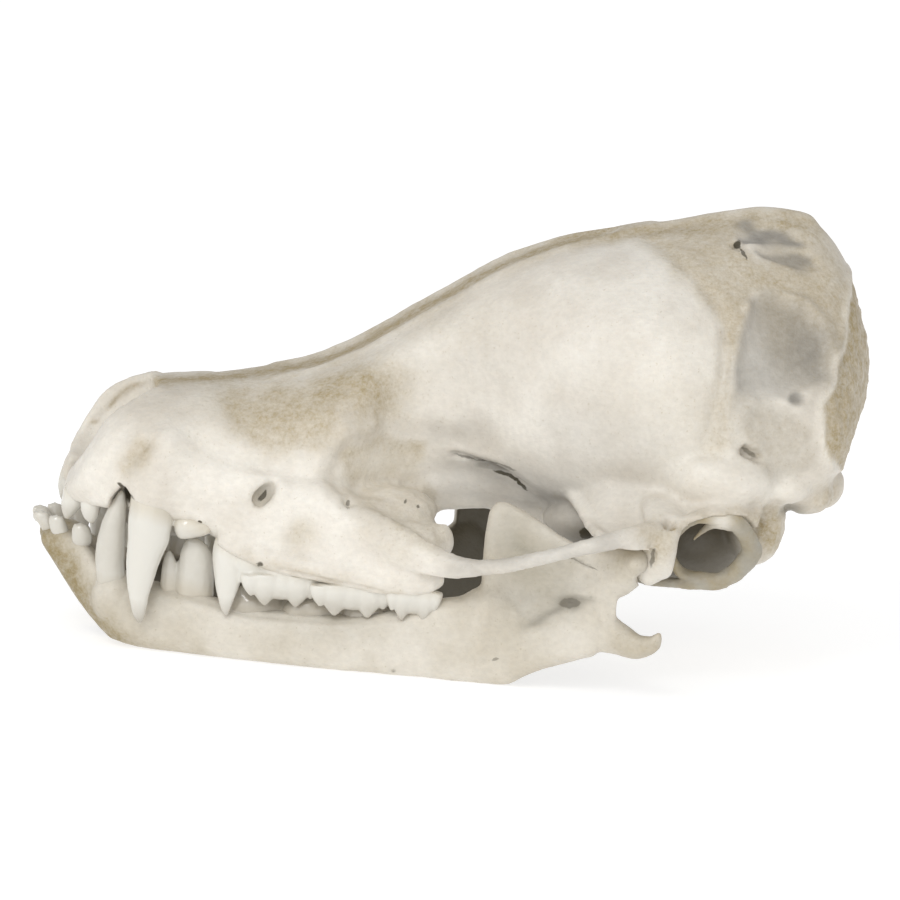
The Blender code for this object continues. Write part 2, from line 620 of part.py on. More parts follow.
def jaw(name, side, material):
    """One lower jaw bone with its blade, joint, hook and teeth."""
    pieces = [
        beam("ramus", RAMUS, RAMUS_FULLNESS, RAMUS_RINGS, RAMUS_AROUND, side),
        tube("neck", CONDYLE_NECK, NECK_RINGS, TUBE_AROUND, side),
        tube("hook", HOOK, HOOK_RINGS, TUBE_AROUND, side),
    ]
    for (x, y, z), radii in ((CONDYLE_CENTRE, CONDYLE_RADII), (CANINE_SOCKET_CENTRE, CANINE_SOCKET_RADII)):
        pieces.append(ball("swelling", (x, side * y, z), radii))
    for tooth, row in LOWER_PEGS.items():
        pieces.append(peg(tooth, *row, side))
    for row in LOWER_MOLARS:
        pieces += molar(row, LOWER_CROWN, LOWER_POINTS, side)
    made = fuse(beam(name, JAW, JAW_FULLNESS, JAW_RINGS, JAW_AROUND, side), pieces)
    made.data.materials.clear()
    made.data.materials.append(material)
    return made


def ear_ring(name, side, material):
    """The open ring of bone that held the eardrum, and the bar that runs forwards from its foot."""
    angle = 2 * np.pi * np.arange(RING_STEPS) / RING_STEPS
    out = np.stack([np.cos(angle), 0 * angle, np.sin(angle)], axis=1)
    around = 2 * np.pi * np.arange(RING_AROUND) / RING_AROUND
    wide, deep = RING_HALF_THICKNESS
    radial = RING_RADIUS + wide + wide * np.cos(around)
    sideways = np.array((0.0, 1.0, 0.0)) * (deep * np.sin(around))[None, :, None]
    points = out[:, None] * radial[None, :, None] + sideways
    cos, sin = math.cos(RING_LEAN), math.sin(RING_LEAN)
    lean = np.array([[1, 0, 0], [0, cos, sin], [0, -sin, cos]])
    points = (points @ lean.T + RING_CENTRE) * (1, side, 1)
    faces = []
    for i in range(RING_STEPS):
        here, following = i * RING_AROUND, (i + 1) % RING_STEPS * RING_AROUND
        for j in range(RING_AROUND):
            k = (j + 1) % RING_AROUND
            faces.append((here + j, here + k, following + k, following + j))
    mesh = bpy.data.meshes.new(name)
    mesh.from_pydata([tuple(point) for point in (points.reshape(-1, 3) - MIDDLE) * MM], [], faces)
    made = fuse(closed_object(name, mesh), [tube("bar", RING_BAR, BAR_RINGS, TUBE_AROUND, side)])
    made.data.materials.clear()
    made.data.materials.append(material)
    return made


def main():
    for thing in list(bpy.data.objects):
        bpy.data.objects.remove(thing)
    home = bpy.data.collections.new("bat_skull")
    bpy.context.scene.collection.children.link(home)
    made = [cranium(bone_material("dry_bone", BONE_COLOUR))]
    jaw_bone, ring_bone = bone_material("jaw_bone", JAW_COLOUR), bone_material("ring_bone", RING_COLOUR)
    for word, side in SIDES.items():
        made.append(jaw(f"lower_jaw_{word}", side, jaw_bone))
        made.append(ear_ring(f"ear_ring_{word}", side, ring_bone))
    for thing in made:
        for group in list(thing.users_collection):
            group.objects.unlink(thing)
        home.objects.link(thing)
        thing.data.shade_smooth()


main()
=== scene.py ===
# %% [markdown]
# # The skull of a large bat
#
# This lesson dresses a finished set of solids, a bat skull 28.6 mm long with its jaw, so that it looks like
# real dry bone. The solids come first and stay the measure of everything: each new piece sits where its solid
# sits. All shapes below are worked out in millimetres, and are turned to metres in the last step of each
# piece.

# %% Load the solids
import math

import bpy
import numpy as np
from mathutils import Matrix, Vector


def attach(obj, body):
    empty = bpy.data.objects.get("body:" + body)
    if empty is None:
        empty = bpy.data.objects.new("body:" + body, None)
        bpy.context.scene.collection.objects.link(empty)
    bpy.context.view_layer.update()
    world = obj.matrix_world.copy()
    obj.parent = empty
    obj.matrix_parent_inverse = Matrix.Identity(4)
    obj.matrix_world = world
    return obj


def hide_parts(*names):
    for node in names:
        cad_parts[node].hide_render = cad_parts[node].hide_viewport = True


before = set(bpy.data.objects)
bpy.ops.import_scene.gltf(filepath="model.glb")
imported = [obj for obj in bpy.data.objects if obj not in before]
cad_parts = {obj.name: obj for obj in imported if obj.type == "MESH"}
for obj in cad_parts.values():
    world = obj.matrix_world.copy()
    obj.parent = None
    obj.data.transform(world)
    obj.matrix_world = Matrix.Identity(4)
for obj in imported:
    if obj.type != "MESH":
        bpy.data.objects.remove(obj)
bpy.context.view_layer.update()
MM = 0.001

# %% [markdown]
# The tables count x from the rear part of the tooth rows, so MIDDLE is the x that lands on the origin. The
# snout points to -X, the left side to -Y, and the jaw rests on z = 0. Shapes are written for positive y and a
# side of -1 or 1 turns them to the left or the right.

# %% Where things are counted from
MIDDLE = np.array((0.59, 0.0, 0.0))
SIDES = {"left": -1, "right": 1}

# %% [markdown]
# Bone is a smooth grown form, so each part starts as a loft: a closed ring of points that is carried along a
# path while it swells and narrows. A table gives the ring at a few stations, and a curve that never swells
# between two stations fills in the rest. A subdivided cage could do this too, but a table of stations says in
# plain numbers how wide and high the skull is at each place.

# %% Curves through stations
def curve_through(knots, values, at):
    """Monotone cubic: each span is a cubic whose end slopes are harmonic means of the slopes beside them."""
    gaps = np.diff(knots)
    slopes = np.diff(values) / gaps
    tangents = np.concatenate([slopes[:1], np.zeros(len(gaps) - 1), slopes[-1:]])
    before, after = slopes[:-1], slopes[1:]
    same = before * after > 0
    first, second = 2 * gaps[1:] + gaps[:-1], gaps[1:] + 2 * gaps[:-1]
    safe_before, safe_after = np.where(same, before, 1.0), np.where(same, after, 1.0)
    tangents[1:-1] = np.where(same, (first + second) / (first / safe_before + second / safe_after), 0.0)
    i = np.clip(np.searchsorted(knots, at, side="right") - 1, 0, len(gaps) - 1)
    t = (at - knots[i]) / gaps[i]
    return (
        values[i] * (2 * t**3 - 3 * t**2 + 1)
        + values[i + 1] * (3 * t**2 - 2 * t**3)
        + gaps[i] * (tangents[i] * (t**3 - 2 * t**2 + t) + tangents[i + 1] * (t**3 - t**2))
    )


def stations(table, count):
    """The columns of a table at many places, closer together where its rows are closer."""
    rows = np.linspace(0, len(table) - 1, count)
    at = np.interp(rows, np.arange(len(table)), table[:, 0])
    return at, [curve_through(table[:, 0], table[:, c], at) for c in range(1, table.shape[1])]


# %% Rings and lofts
def ring_offsets(half_width, up, down, full_up, full_down, around):
    """A superellipse: offsets (w * sign(cos a) * |cos a|^(2/n), r * sign(sin a) * |sin a|^(2/n)) at each
    angle a, where n is the fullness and r the reach, which differ above and below."""
    angle = 2 * np.pi * (np.arange(around) + 0.5) / around
    cos, sin = np.cos(angle)[None, :], np.sin(angle)[None, :]
    full = np.where(sin > 0, full_up[:, None], full_down[:, None])
    reach = np.where(sin > 0, up[:, None], down[:, None])
    rise = (np.abs(sin) / np.abs(sin).max()) ** (2 / full)
    return half_width[:, None] * np.sign(cos) * np.abs(cos) ** (2 / full), reach * np.sign(sin) * rise


def loft(rings):
    """A closed shape through rings of points (ring, place, xyz): quads between them and a fan at each end."""
    count, around = rings.shape[:2]
    points = np.concatenate([rings.reshape(-1, 3), [rings[0].mean(axis=0), rings[-1].mean(axis=0)]])
    i, j = np.meshgrid(np.arange(count - 1), np.arange(around), indexing="ij")
    k = (j + 1) % around
    here, ahead = i * around, (i + 1) * around
    quads = np.stack([here + j, here + k, ahead + k, ahead + j], axis=-1)
    j = np.arange(around)
    k = (j + 1) % around
    last = (count - 1) * around
    fans = np.concatenate([
        np.stack([0 * j + count * around, k, j], axis=1),
        np.stack([0 * j + count * around + 1, last + j, last + k], axis=1),
    ])
    return outward(points, quads.reshape(-1, 4), fans)


def outward(points, quads, fans):
    """The same shape with its faces turned so that its volume, the sum of a.(b x c)/6, is positive."""
    corners = np.concatenate([quads[:, [0, 1, 2]], quads[:, [0, 2, 3]], fans])
    a, b, c = (points[corners[:, n]] for n in range(3))
    if np.einsum("ij,ij->", a, np.cross(b, c)) < 0:
        quads, fans = quads[:, ::-1], fans[:, ::-1]
    return points, quads, fans


def beam(table, fullness, rings, around, side):
    """A loft along X from rows of (x, middle y, half thickness, low z, high z)."""
    at, (middle, half, low, high) = stations(table, rings)
    reach = (high - low) / 2
    full = np.full(rings, fullness)
    sideways, upwards = ring_offsets(half, reach, reach, full, full, around)
    x = np.repeat(at[:, None], around, axis=1)
    y = side * (middle[:, None] + sideways)
    return loft(np.stack([x, y, (low + reach)[:, None] + upwards], axis=2))


def tube(table, rings, around, side, fullness=2.0):
    """A loft along a bent line, rows of (x, y, z, half thickness, half height): each ring stands square to
    the line, with its height in the upright plane that holds the line."""
    steps = np.concatenate([[0], np.cumsum(np.linalg.norm(np.diff(table[:, :3], axis=0), axis=1))])
    at = np.linspace(0, steps[-1], rings)
    x, y, z, half, reach = (curve_through(steps, table[:, c], at) for c in range(5))
    line = np.stack([x, y, z], axis=1)
    along = np.gradient(line, axis=0)
    along /= np.linalg.norm(along, axis=1)[:, None]
    across = np.cross(along, (0.0, 0.0, 1.0))
    across /= np.linalg.norm(across, axis=1)[:, None]
    upright = np.cross(across, along)
    full = np.full(rings, fullness)
    sideways, upwards = ring_offsets(half, reach, reach, full, full, around)
    points = line[:, None] + sideways[..., None] * across[:, None] + upwards[..., None] * upright[:, None]
    return loft(points * (1, side, 1))


def column(table, rings, around, side, fullness=2.2):
    """An upright loft, rows of (z, x, y, half length, half width), with level rings."""
    at, (x, y, long, wide) = stations(table, rings)
    full = np.full(rings, fullness)
    along, across = ring_offsets(long, wide, wide, full, full, around)
    z = np.repeat(at[:, None], around, axis=1)
    return loft(np.stack([x[:, None] + along, side * (y[:, None] + across), z], axis=2))


def mound(centre, radii, side, tilt=0.0, rings=24, around=32):
    """An ellipsoid: rings at polar angle p have radius sin p and stand at cos p, and it may tilt about Y."""
    polar = np.linspace(0.04, np.pi - 0.04, rings)[:, None]
    turn = 2 * np.pi * np.arange(around)[None, :] / around
    x = np.sin(polar) * np.cos(turn) * radii[0]
    y = np.sin(polar) * np.sin(turn) * radii[1]
    z = (np.cos(polar) + 0 * turn) * radii[2]
    cos, sin = math.cos(tilt), math.sin(tilt)
    place = np.array(centre) * (1, side, 1)
    return loft(np.stack([x * cos + z * sin, y, z * cos - x * sin], axis=2) + place)


# %% [markdown]
# Many lofts overlap in one bone, as a cheek bone grows out of the jaw. They are joined the way clay is: voxel
# remesh finds the outer skin of all of them at once, and a few rounds of relaxing melt the creases into
# fillets. A Boolean union alone would leave every joint as a sharp line, which bone never has.

# %% Joining, carving and relaxing
def join(name, shapes):
    """One mesh object, in millimetres, that holds several closed shapes."""
    points, faces, start = [], [], 0
    for shape_points, quads, fans in shapes:
        points.append(shape_points)
        faces += (quads + start).tolist() + (fans + start).tolist()
        start += len(shape_points)
    mesh = bpy.data.meshes.new(name)
    mesh.from_pydata(np.concatenate(points).tolist(), [], faces)
    thing = bpy.data.objects.new(name, mesh)
    bpy.context.scene.collection.objects.link(thing)
    return thing


def apply_modifiers(thing):
    """Puts what the modifiers make into the object's own mesh."""
    graph = bpy.context.evaluated_depsgraph_get()
    made = bpy.data.meshes.new_from_object(thing.evaluated_get(graph))
    thing.modifiers.clear()
    thing.data = made


def knit(thing, grain):
    """One even skin over everything in the object, in cells of this size in millimetres."""
    skin = thing.modifiers.new("knit", "REMESH")
    skin.mode = "VOXEL"
    skin.voxel_size = grain
    apply_modifiers(thing)


def carve(thing, shapes):
    """Cuts each of the closed shapes out of the object."""
    for shape in shapes:
        cutter = join("cutter", [shape])
        cut = thing.modifiers.new("cut", "BOOLEAN")
        cut.operation, cut.solver, cut.object = "DIFFERENCE", "MANIFOLD", cutter
        apply_modifiers(thing)
        bpy.data.objects.remove(cutter)


def places(thing):
    """The points of an object's mesh as an array."""
    flat = np.empty(3 * len(thing.data.vertices))
    thing.data.vertices.foreach_get("co", flat)
    return flat.reshape(-1, 3)


def set_places(thing, points):
    """Writes the points back to the mesh."""
    thing.data.vertices.foreach_set("co", points.ravel())
    thing.data.update()


def relax(thing, rounds, strength=0.5):
    """Moves each point towards the mean of its neighbours, then a little more than back (Taubin's two
    steps, s and -1.04 s), so that creases melt but thin parts don't shrink."""
    points = places(thing)
    ends = np.empty(2 * len(thing.data.edges), dtype=np.int64)
    thing.data.edges.foreach_get("vertices", ends)
    one, other = ends.reshape(-1, 2).T
    count = len(points)
    degree = np.bincount(one, minlength=count) + np.bincount(other, minlength=count)
    for _ in range(rounds):
        for step in (strength, -1.04 * strength):
            near = np.stack([
                np.bincount(one, points[other, c], count) + np.bincount(other, points[one, c], count)
                for c in range(3)
            ], axis=1) / np.maximum(degree, 1)[:, None]
            points = points + step * (near - points)
    set_places(thing, points)


def normals(thing):
    """The outward direction at each point."""
    flat = np.empty(3 * len(thing.data.vertices))
    thing.data.vertices.foreach_get("normal", flat)
    return flat.reshape(-1, 3)


# %% [markdown]
# Ridges, hollows, holes and stains are all told the same way: a mark is a soft spot or a soft line in space,
# and each point of the bone feels it by its distance. One list can raise or sink the surface, and another can
# colour it. For colours, the point is first shifted by a few sine waves, so that no edge looks drawn with a
# compass.

# %% Marks in space
def ripple(points, size):
    """Smooth unevenness, about -1 to 1: twice the mean of four products of sines in turned directions."""
    directions = np.array([(0.8, 0.5, -0.33), (-0.42, 0.86, 0.28), (0.36, -0.3, 0.88), (0.6, 0.64, 0.48)])
    waves = points @ directions.T * (2 * np.pi / size) + np.array([0.3, 1.9, 4.1, 5.2])
    return (np.sin(waves) * np.sin(0.61 * waves[:, [1, 2, 3, 0]] + 1.3)).mean(axis=1) * 2


def path_distance(points, path):
    """The distance from each point to the nearest place on a broken line."""
    path = np.array(path, dtype=float)
    best = np.full(len(points), np.inf)
    for a, b in zip(path[:-1], path[1:]):
        t = np.clip(((points - a) @ (b - a)) / ((b - a) @ (b - a)), 0, 1)
        best = np.minimum(best, np.linalg.norm(points - (a + t[:, None] * (b - a)), axis=1))
    return best


def outline_distance(points, outline):
    """How far inside a closed outline on the side view (x, z) each point is, negative outside: the
    distance to the nearest edge, with the sign from how often a level line from the point crosses the
    outline."""
    x, z = points[:, 0], points[:, 2]
    best, inside = np.full(len(x), np.inf), np.zeros(len(x), dtype=bool)
    for (ax, az), (bx, bz) in zip(outline, np.roll(outline, -1, axis=0)):
        dx, dz = bx - ax, bz - az
        t = np.clip(((x - ax) * dx + (z - az) * dz) / (dx**2 + dz**2), 0, 1)
        best = np.minimum(best, np.hypot(x - ax - t * dx, z - az - t * dz))
        rise = dz if bz != az else 1.0
        inside ^= ((az > z) != (bz > z)) & (x < ax + (z - az) * dx / rise)
    return np.where(inside, best, -best)


def mark_mask(points, mark):
    """1 at the middle of a mark, fading as exp(-d^2), or as a plateau exp(-d^2p) where an edge p is given.

    A mark is (strength, size, place, edge): with one place it is a spot with a radius or three radii, and
    with several it is a line of that width. With an outline it fills the outline, 1/(1 + exp(-4d/size)),
    or with the edge "rim" follows it as a line."""
    size, place, edge = mark[1], mark[2], mark[3] if len(mark) > 3 else 1
    if isinstance(place, np.ndarray):
        distance = outline_distance(points, place) / size
        if edge == "rim":
            return np.exp(-(distance**2))
        return 1 / (1 + np.exp(np.clip(-4 * distance, -50, 50)))
    if isinstance(place, list):
        distance = path_distance(points, place) / size
    else:
        distance = np.linalg.norm((points - place) / size, axis=1)
    return np.exp(-(distance ** (2 * edge)))


def both_sides(points):
    """The points with y made positive, so that one list of marks serves left and right."""
    return np.abs(points * (0, 1, 0)) + points * (1, 0, 1)


def total(points, marks):
    """The sum of all marks, each times its strength."""
    return sum(mark[0] * mark_mask(points, mark) for mark in marks.values())


def cover(points, marks):
    """How much of the surface the marks cover, from 0 to 1: 1 minus the product of what each leaves bare."""
    bare = np.ones(len(points))
    for mark in marks.values():
        bare *= 1 - np.clip(mark[0] * mark_mask(points, mark), 0, 1)
    return 1 - bare


def raise_by(thing, marks, roughness=0.0, grain=1.0, rough_marks=None):
    """Pushes points along their normals by the marks, plus an unevenness in two sizes, in millimetres,
    which grows where the rough marks lie."""
    points = places(thing)
    push = total(both_sides(points), marks)
    push += roughness * (ripple(points, grain) + 0.4 * ripple(points, 0.3 * grain))
    if rough_marks:
        lumps = ripple(points, 0.62) + 0.8 * ripple(points[:, [2, 0, 1]], 0.41)
        push += total(both_sides(points), rough_marks) * lumps
    set_places(thing, points + push[:, None] * normals(thing))


def keep_places(thing):
    """Remembers where each point is now, so that a mark is painted where it was before the relief."""
    layer = thing.data.attributes.new("before", "FLOAT_VECTOR", "POINT")
    layer.data.foreach_set("vector", places(thing).ravel())


def kept_places(thing):
    """The remembered places. Points that a later cut made have none, and give their own."""
    flat = np.empty(3 * len(thing.data.vertices))
    thing.data.attributes["before"].data.foreach_get("vector", flat)
    kept, now = flat.reshape(-1, 3), places(thing)
    near = np.linalg.norm(kept - now, axis=1) < 1.0
    return np.where(near[:, None], kept, now)


def paint(thing, **layers):
    """Keeps a number from 0 to 1 for each point under each name, which the material reads."""
    for name, values in layers.items():
        layer = thing.data.attributes.new(name, "FLOAT", "POINT")
        layer.data.foreach_set("value", np.clip(values, 0, 1) + np.zeros(len(thing.data.vertices)))


def waver(points, reach, sizes):
    """The points moved by up to this reach, with a ripple of its own size along each axis."""
    return points + reach * np.stack([ripple(points, size) for size in sizes], axis=1)


# %% [markdown]
# ## Colours and finishes
#
# Dry bone is porous calcium phosphate with a little grease left in it: matt to silky, and light sinks in and
# comes out again a fraction of a millimetre away, so it glows softly and its shadows are warm. Thin walls let
# light through and look grey over the dark inside. Enamel is glassy, harder and whiter. One node material is
# made for each, and reads the numbers kept at each point: how tan it is, how grey (for thin walls and for
# some painted shade), how dark (for painted shade in hollows and holes, and for smudges) and how pale
# (painted light).

# %% Colour helper
def colour(code):
    """sRGB hex to linear light: c/12.92 when dark, else ((c + 0.055)/1.055)^2.4."""
    parts = [int(code[n:n + 2], 16) / 255 for n in (1, 3, 5)]
    return (*(c / 12.92 if c <= 0.04045 else ((c + 0.055) / 1.055) ** 2.4 for c in parts), 1.0)


def node(tree, kind, wires=None, **settings):
    """Adds one node. Settings go to its properties, wires to its sockets, as values or as other sockets."""
    made = tree.nodes.new(kind)
    for name, value in settings.items():
        setattr(made, name, value)
    for socket, value in (wires or {}).items():
        if isinstance(value, bpy.types.NodeSocket):
            tree.links.new(value, made.inputs[socket])
        else:
            made.inputs[socket].default_value = value
    return made


def blend_colours(tree, amount, under, over):
    """The colour under, covered by the colour over as far as amount says."""
    return node(tree, "ShaderNodeMix", {0: amount, 6: under, 7: over}, data_type="RGBA").outputs[2]


def grain(tree, coordinates, millimetres, detail=4.0, roughness=0.55):
    """A cloudy pattern whose lumps are about this many millimetres across."""
    return node(tree, "ShaderNodeTexNoise", {
        "Vector": coordinates, "Scale": 1 / (millimetres * MM), "Detail": detail, "Roughness": roughness,
    }).outputs["Fac"]


def between(tree, value, low, high, to_low=0.0, to_high=1.0):
    """Stretches the range low to high over to_low to to_high, and holds it there."""
    return node(tree, "ShaderNodeMapRange", {
        "Value": value, "From Min": low, "From Max": high, "To Min": to_low, "To Max": to_high,
    }, clamp=True).outputs["Result"]


def sums(tree, operation, one, other):
    """One step of arithmetic."""
    return node(tree, "ShaderNodeMath", {0: one, 1: other}, operation=operation).outputs[0]


def blank_finish(name):
    """A new material with its tree of nodes, its shader and the object's own coordinates."""
    made = bpy.data.materials.new(name)
    made.use_nodes = True
    tree = made.node_tree
    return made, tree, tree.nodes["Principled BSDF"], node(tree, "ShaderNodeTexCoord").outputs["Object"]


def point_layers(tree, *names):
    """The numbers kept at each point under these names."""
    return [node(tree, "ShaderNodeAttribute", attribute_name=name).outputs["Fac"] for name in names]


def wire_up(tree, shader, base, roughness, bump, ior, sunk, depths):
    """Sets the shader: how much light sinks in, and how far red, green and blue go, as shares of GLOW."""
    tree.links.new(base, shader.inputs["Base Color"])
    tree.links.new(roughness, shader.inputs["Roughness"])
    tree.links.new(bump.outputs["Normal"], shader.inputs["Normal"])
    shader.inputs["IOR"].default_value = ior
    shader.inputs["Subsurface Weight"].default_value = sunk
    shader.inputs["Subsurface Radius"].default_value = depths
    shader.inputs["Subsurface Scale"].default_value = GLOW


GLOW = 0.25 * MM
# A paler ivory, blended in where the pale layer says: painted light on the cranium, and the paler hammer of
# the ear.
LIGHTENED_IVORY = "#f4efe4"


# %% Holes as dark spots: painted shade in the cranium's holes, and smudges on the jaw
def strokes(strength, thickness, depth, path):
    """A line of long spots, one between each two places of the path, given as (x, z) at the depth y."""
    spots = []
    for (x, z), (to_x, to_z) in zip(path, path[1:]):
        middle = ((x + to_x) / 2, depth, (z + to_z) / 2)
        reach = math.hypot(to_x - x, to_z - z) / 2 + thickness
        spots.append((strength, middle, (thickness, 1.0, reach), math.atan2(to_x - x, to_z - z)))
    return spots


def spot_mask(tree, where, spots):
    """How far inside any of the spots a place lies, the same on left and right. Each spot is an ellipsoid:
    the place is moved and scaled until the spot is a ball of radius 1, and the distance from its middle is
    faded out from 0.8 to 1.15. A fine noise first shifts the place by up to 0.08 mm, so that edges are
    ragged."""
    apart = node(tree, "ShaderNodeSeparateXYZ", {0: where}).outputs
    folded = node(tree, "ShaderNodeCombineXYZ", {
        "X": apart["X"], "Y": sums(tree, "ABSOLUTE", apart["Y"], 0.0), "Z": apart["Z"],
    }).outputs[0]
    noise = node(tree, "ShaderNodeTexNoise", {"Vector": where, "Scale": 1 / (0.22 * MM), "Detail": 3.0})
    ragged = node(tree, "ShaderNodeVectorMath", {
        0: noise.outputs["Color"], 1: (0.16 * MM,) * 3, 2: folded}, operation="MULTIPLY_ADD").outputs[0]
    most = 0.0
    for strength, centre, radii, tilt in spots:
        middle = [(value - shift + 0.08) * MM for value, shift in zip(centre, MIDDLE)]
        ball = node(tree, "ShaderNodeMapping", {
            "Vector": ragged, "Location": middle, "Rotation": (0, tilt, 0),
            "Scale": [r * MM for r in radii],
        }, vector_type="TEXTURE").outputs[0]
        distance = node(tree, "ShaderNodeVectorMath", {0: ball}, operation="LENGTH").outputs["Value"]
        most = sums(tree, "MAXIMUM", most, between(tree, distance, 0.8, 1.15, strength, 0.0))
    return most


# %% Dry bone
def shade(tree, colour_socket, value):
    """A colour made darker or lighter by multiplying it with a value."""
    return node(
        tree, "ShaderNodeMix", {0: 1.0, 6: colour_socket, 7: value},
        data_type="RGBA", blend_type="MULTIPLY",
    ).outputs[2]


def bone_finish(name, ivory, cream, tan, grey, hollow, spots):
    """Dry cleaned bone: an ivory body clouded with cream, stained tan where grease stayed, grey where the
    wall lets light through and where shade is painted, paler where light is painted, darkened with painted
    shade in hollows and holes and with dark smudges, with fine pores, fibres along the bone and a silky,
    uneven shine."""
    made, tree, shader, where = blank_finish(name)
    along = node(tree, "ShaderNodeMapping", {"Vector": where, "Scale": (0.6, 1.0, 0.9)}).outputs["Vector"]
    clouds = grain(tree, where, 2.4, 5.0)
    mottle = grain(tree, where, 0.34, 5.0, 0.65)
    flecks = grain(tree, where, 0.12, 3.0, 0.7)
    fibres = grain(tree, along, 0.15, 3.0, 0.6)
    stain, thin, deep, pale = point_layers(tree, "stain", "thin", "deep", "pale")
    body = blend_colours(tree, between(tree, clouds, 0.38, 0.66), colour(ivory), colour(cream))
    grains = between(tree, flecks, 0.36, 0.64, 0.76, 1.12)
    clumps = sums(tree, "MULTIPLY", between(tree, mottle, 0.34, 0.66, 0.74, 1.18), grains)
    patches = sums(tree, "MULTIPLY", clumps, stain)
    tinted = blend_colours(tree, sums(tree, "MINIMUM", patches, 1.0), body, colour(tan))
    # Grey for thin bone, and painted shade where the grey layer carries it.
    veils = sums(tree, "MULTIPLY", between(tree, mottle, 0.30, 0.68, 0.82, 1.06), thin)
    veiled = blend_colours(tree, sums(tree, "MINIMUM", veils, 1.0), tinted, colour(grey))
    # Painted light: the pale layer lightens the bone towards a paler ivory.
    lightened = blend_colours(tree, pale, veiled, colour(LIGHTENED_IVORY))
    pored = blend_colours(tree, between(tree, flecks, 0.63, 0.75, 0.0, 0.40), lightened, colour(tan))
    streaked = between(tree, fibres, 0.36, 0.64, 0.95, 1.02)
    clouded = between(tree, mottle, 0.3, 0.7, 0.965, 1.015)
    speckled = shade(tree, pored, sums(tree, "MULTIPLY", streaked, clouded))
    # Painted shade: hollows, holes and the jaw's inner side are blended towards the shade colour, and so are
    # the jaw's smudges.
    dark = sums(tree, "MAXIMUM", deep, spot_mask(tree, where, spots)) if spots else deep
    final = blend_colours(tree, dark, speckled, colour(hollow))
    heights = sums(tree, "ADD", sums(tree, "MULTIPLY", mottle, 0.5), sums(tree, "MULTIPLY", flecks, 0.30))
    bump = node(tree, "ShaderNodeBump", {
        "Height": sums(tree, "ADD", heights, sums(tree, "MULTIPLY", fibres, 0.25)),
        "Strength": 0.55, "Distance": 0.07 * MM,
    })
    silky = between(tree, mottle, 0.3, 0.7, 0.34, 0.56)
    wire_up(tree, shader, final, silky, bump, 1.5, 0.1, (1.0, 0.78, 0.58))
    return made


# %% Enamel
def enamel_finish(name, white, neck, tip):
    """Tooth enamel: milky glass over yellower dentine, smooth and wet-looking, greyer at the tips, where it
    is thinnest, and greyer still where the lower teeth are painted with shade.
    """
    made, tree, shader, where = blank_finish(name)
    mottle = grain(tree, where, 0.7, 3.0)
    ends, gum = point_layers(tree, "tip", "gum")
    necked = blend_colours(tree, gum, colour(white), colour(neck))
    patches = sums(tree, "MULTIPLY", between(tree, mottle, 0.3, 0.7, 0.6, 1.0), ends)
    greyed = blend_colours(tree, patches, necked, colour(tip))
    bump = node(tree, "ShaderNodeBump", {"Height": mottle, "Strength": 0.15, "Distance": 0.05 * MM})
    glossy = between(tree, mottle, 0.3, 0.7, 0.12, 0.24)
    wire_up(tree, shader, greyed, glossy, bump, 1.62, 0.2, (1.0, 0.9, 0.8))
    return made


# Each spot is (strength, middle, radii, tilt), in millimetres.
# The cranium's spots are painted shade: its holes, slots and gaps are darkened as if shade lay in them.
SKULL_HOLE_SHADE = [
    (0.97, (9.83, 2.2, 15.22), (0.13, 0.9, 0.14), 0.0),
    (0.80, (10.00, 2.6, 15.00), (0.05, 0.9, 0.19), math.radians(-39)),
    (0.50, (10.30, 6.0, 8.62), (0.09, 0.8, 0.30), math.radians(-58)),
    (0.62, (-3.30, 4.9, 5.90), (0.07, 0.9, 0.10), 0.0),
    (0.80, (-1.09, 3.6, 6.32), (0.10, 0.9, 0.07), 0.0),
    (0.75, (-1.26, 3.9, 5.95), (0.07, 0.9, 0.06), 0.0),
    (0.75, (-0.82, 4.1, 5.80), (0.06, 0.9, 0.07), 0.0),
    (0.97, (-10.70, 3.2, 5.42), (0.19, 1.4, 0.31), math.radians(-30)),
    (0.95, (-11.04, 3.3, 5.87), (0.08, 1.4, 0.18), math.radians(-52)),
    (0.93, (-6.20, 4.6, 5.90), (0.09, 0.9, 0.26), math.radians(38)),
    (0.90, (-6.18, 4.8, 3.64), (0.13, 0.5, 0.12), 0.0),
    (0.95, (-8.97, 4.3, 4.80), (0.09, 0.6, 0.07), 0.0),
    (0.95, (-8.28, 4.4, 4.82), (0.09, 0.6, 0.09), 0.0),
    (0.70, (7.03, 7.3, 7.00), (0.05, 0.9, 0.05), 0.0),
    (0.70, (7.51, 7.1, 7.05), (0.05, 0.9, 0.05), 0.0),
    (0.97, (5.06, 3.6, 5.18), (0.24, 3.9, 0.26), 0.0),
    (0.60, (7.06, 7.5, 5.10), (0.07, 0.6, 0.42), 0.0),
    (0.30, (1.75, 2.8, 7.02), (0.62, 0.7, 0.13), 0.0),
]
SKULL_HOLE_SHADE += strokes(0.55, 0.045, 2.7, [(0.54, 7.37), (1.26, 7.19), (2.03, 7.23), (2.6, 7.05)])
SKULL_HOLE_SHADE += strokes(0.97, 0.065, 2.9, [(1.94, 6.88), (2.44, 6.78), (2.72, 6.61), (3.07, 6.28)])
JAW_SPOTS = [
    (0.72, (4.46, 6.5, 3.14), (0.20, 1.0, 0.40), math.radians(80)),
    (0.30, (4.85, 6.6, 3.34), (0.10, 1.0, 0.40), math.radians(70)),
    (0.26, (3.60, 6.3, 2.56), (0.10, 1.0, 0.62), math.radians(58)),
    (0.50, (2.08, 6.0, 0.98), (0.05, 0.8, 0.13), math.radians(70)),
]
JAW_SPOTS += strokes(0.50, 0.03, 6.6, [(4.21, 4.83), (4.95, 4.53), (5.26, 4.46)])
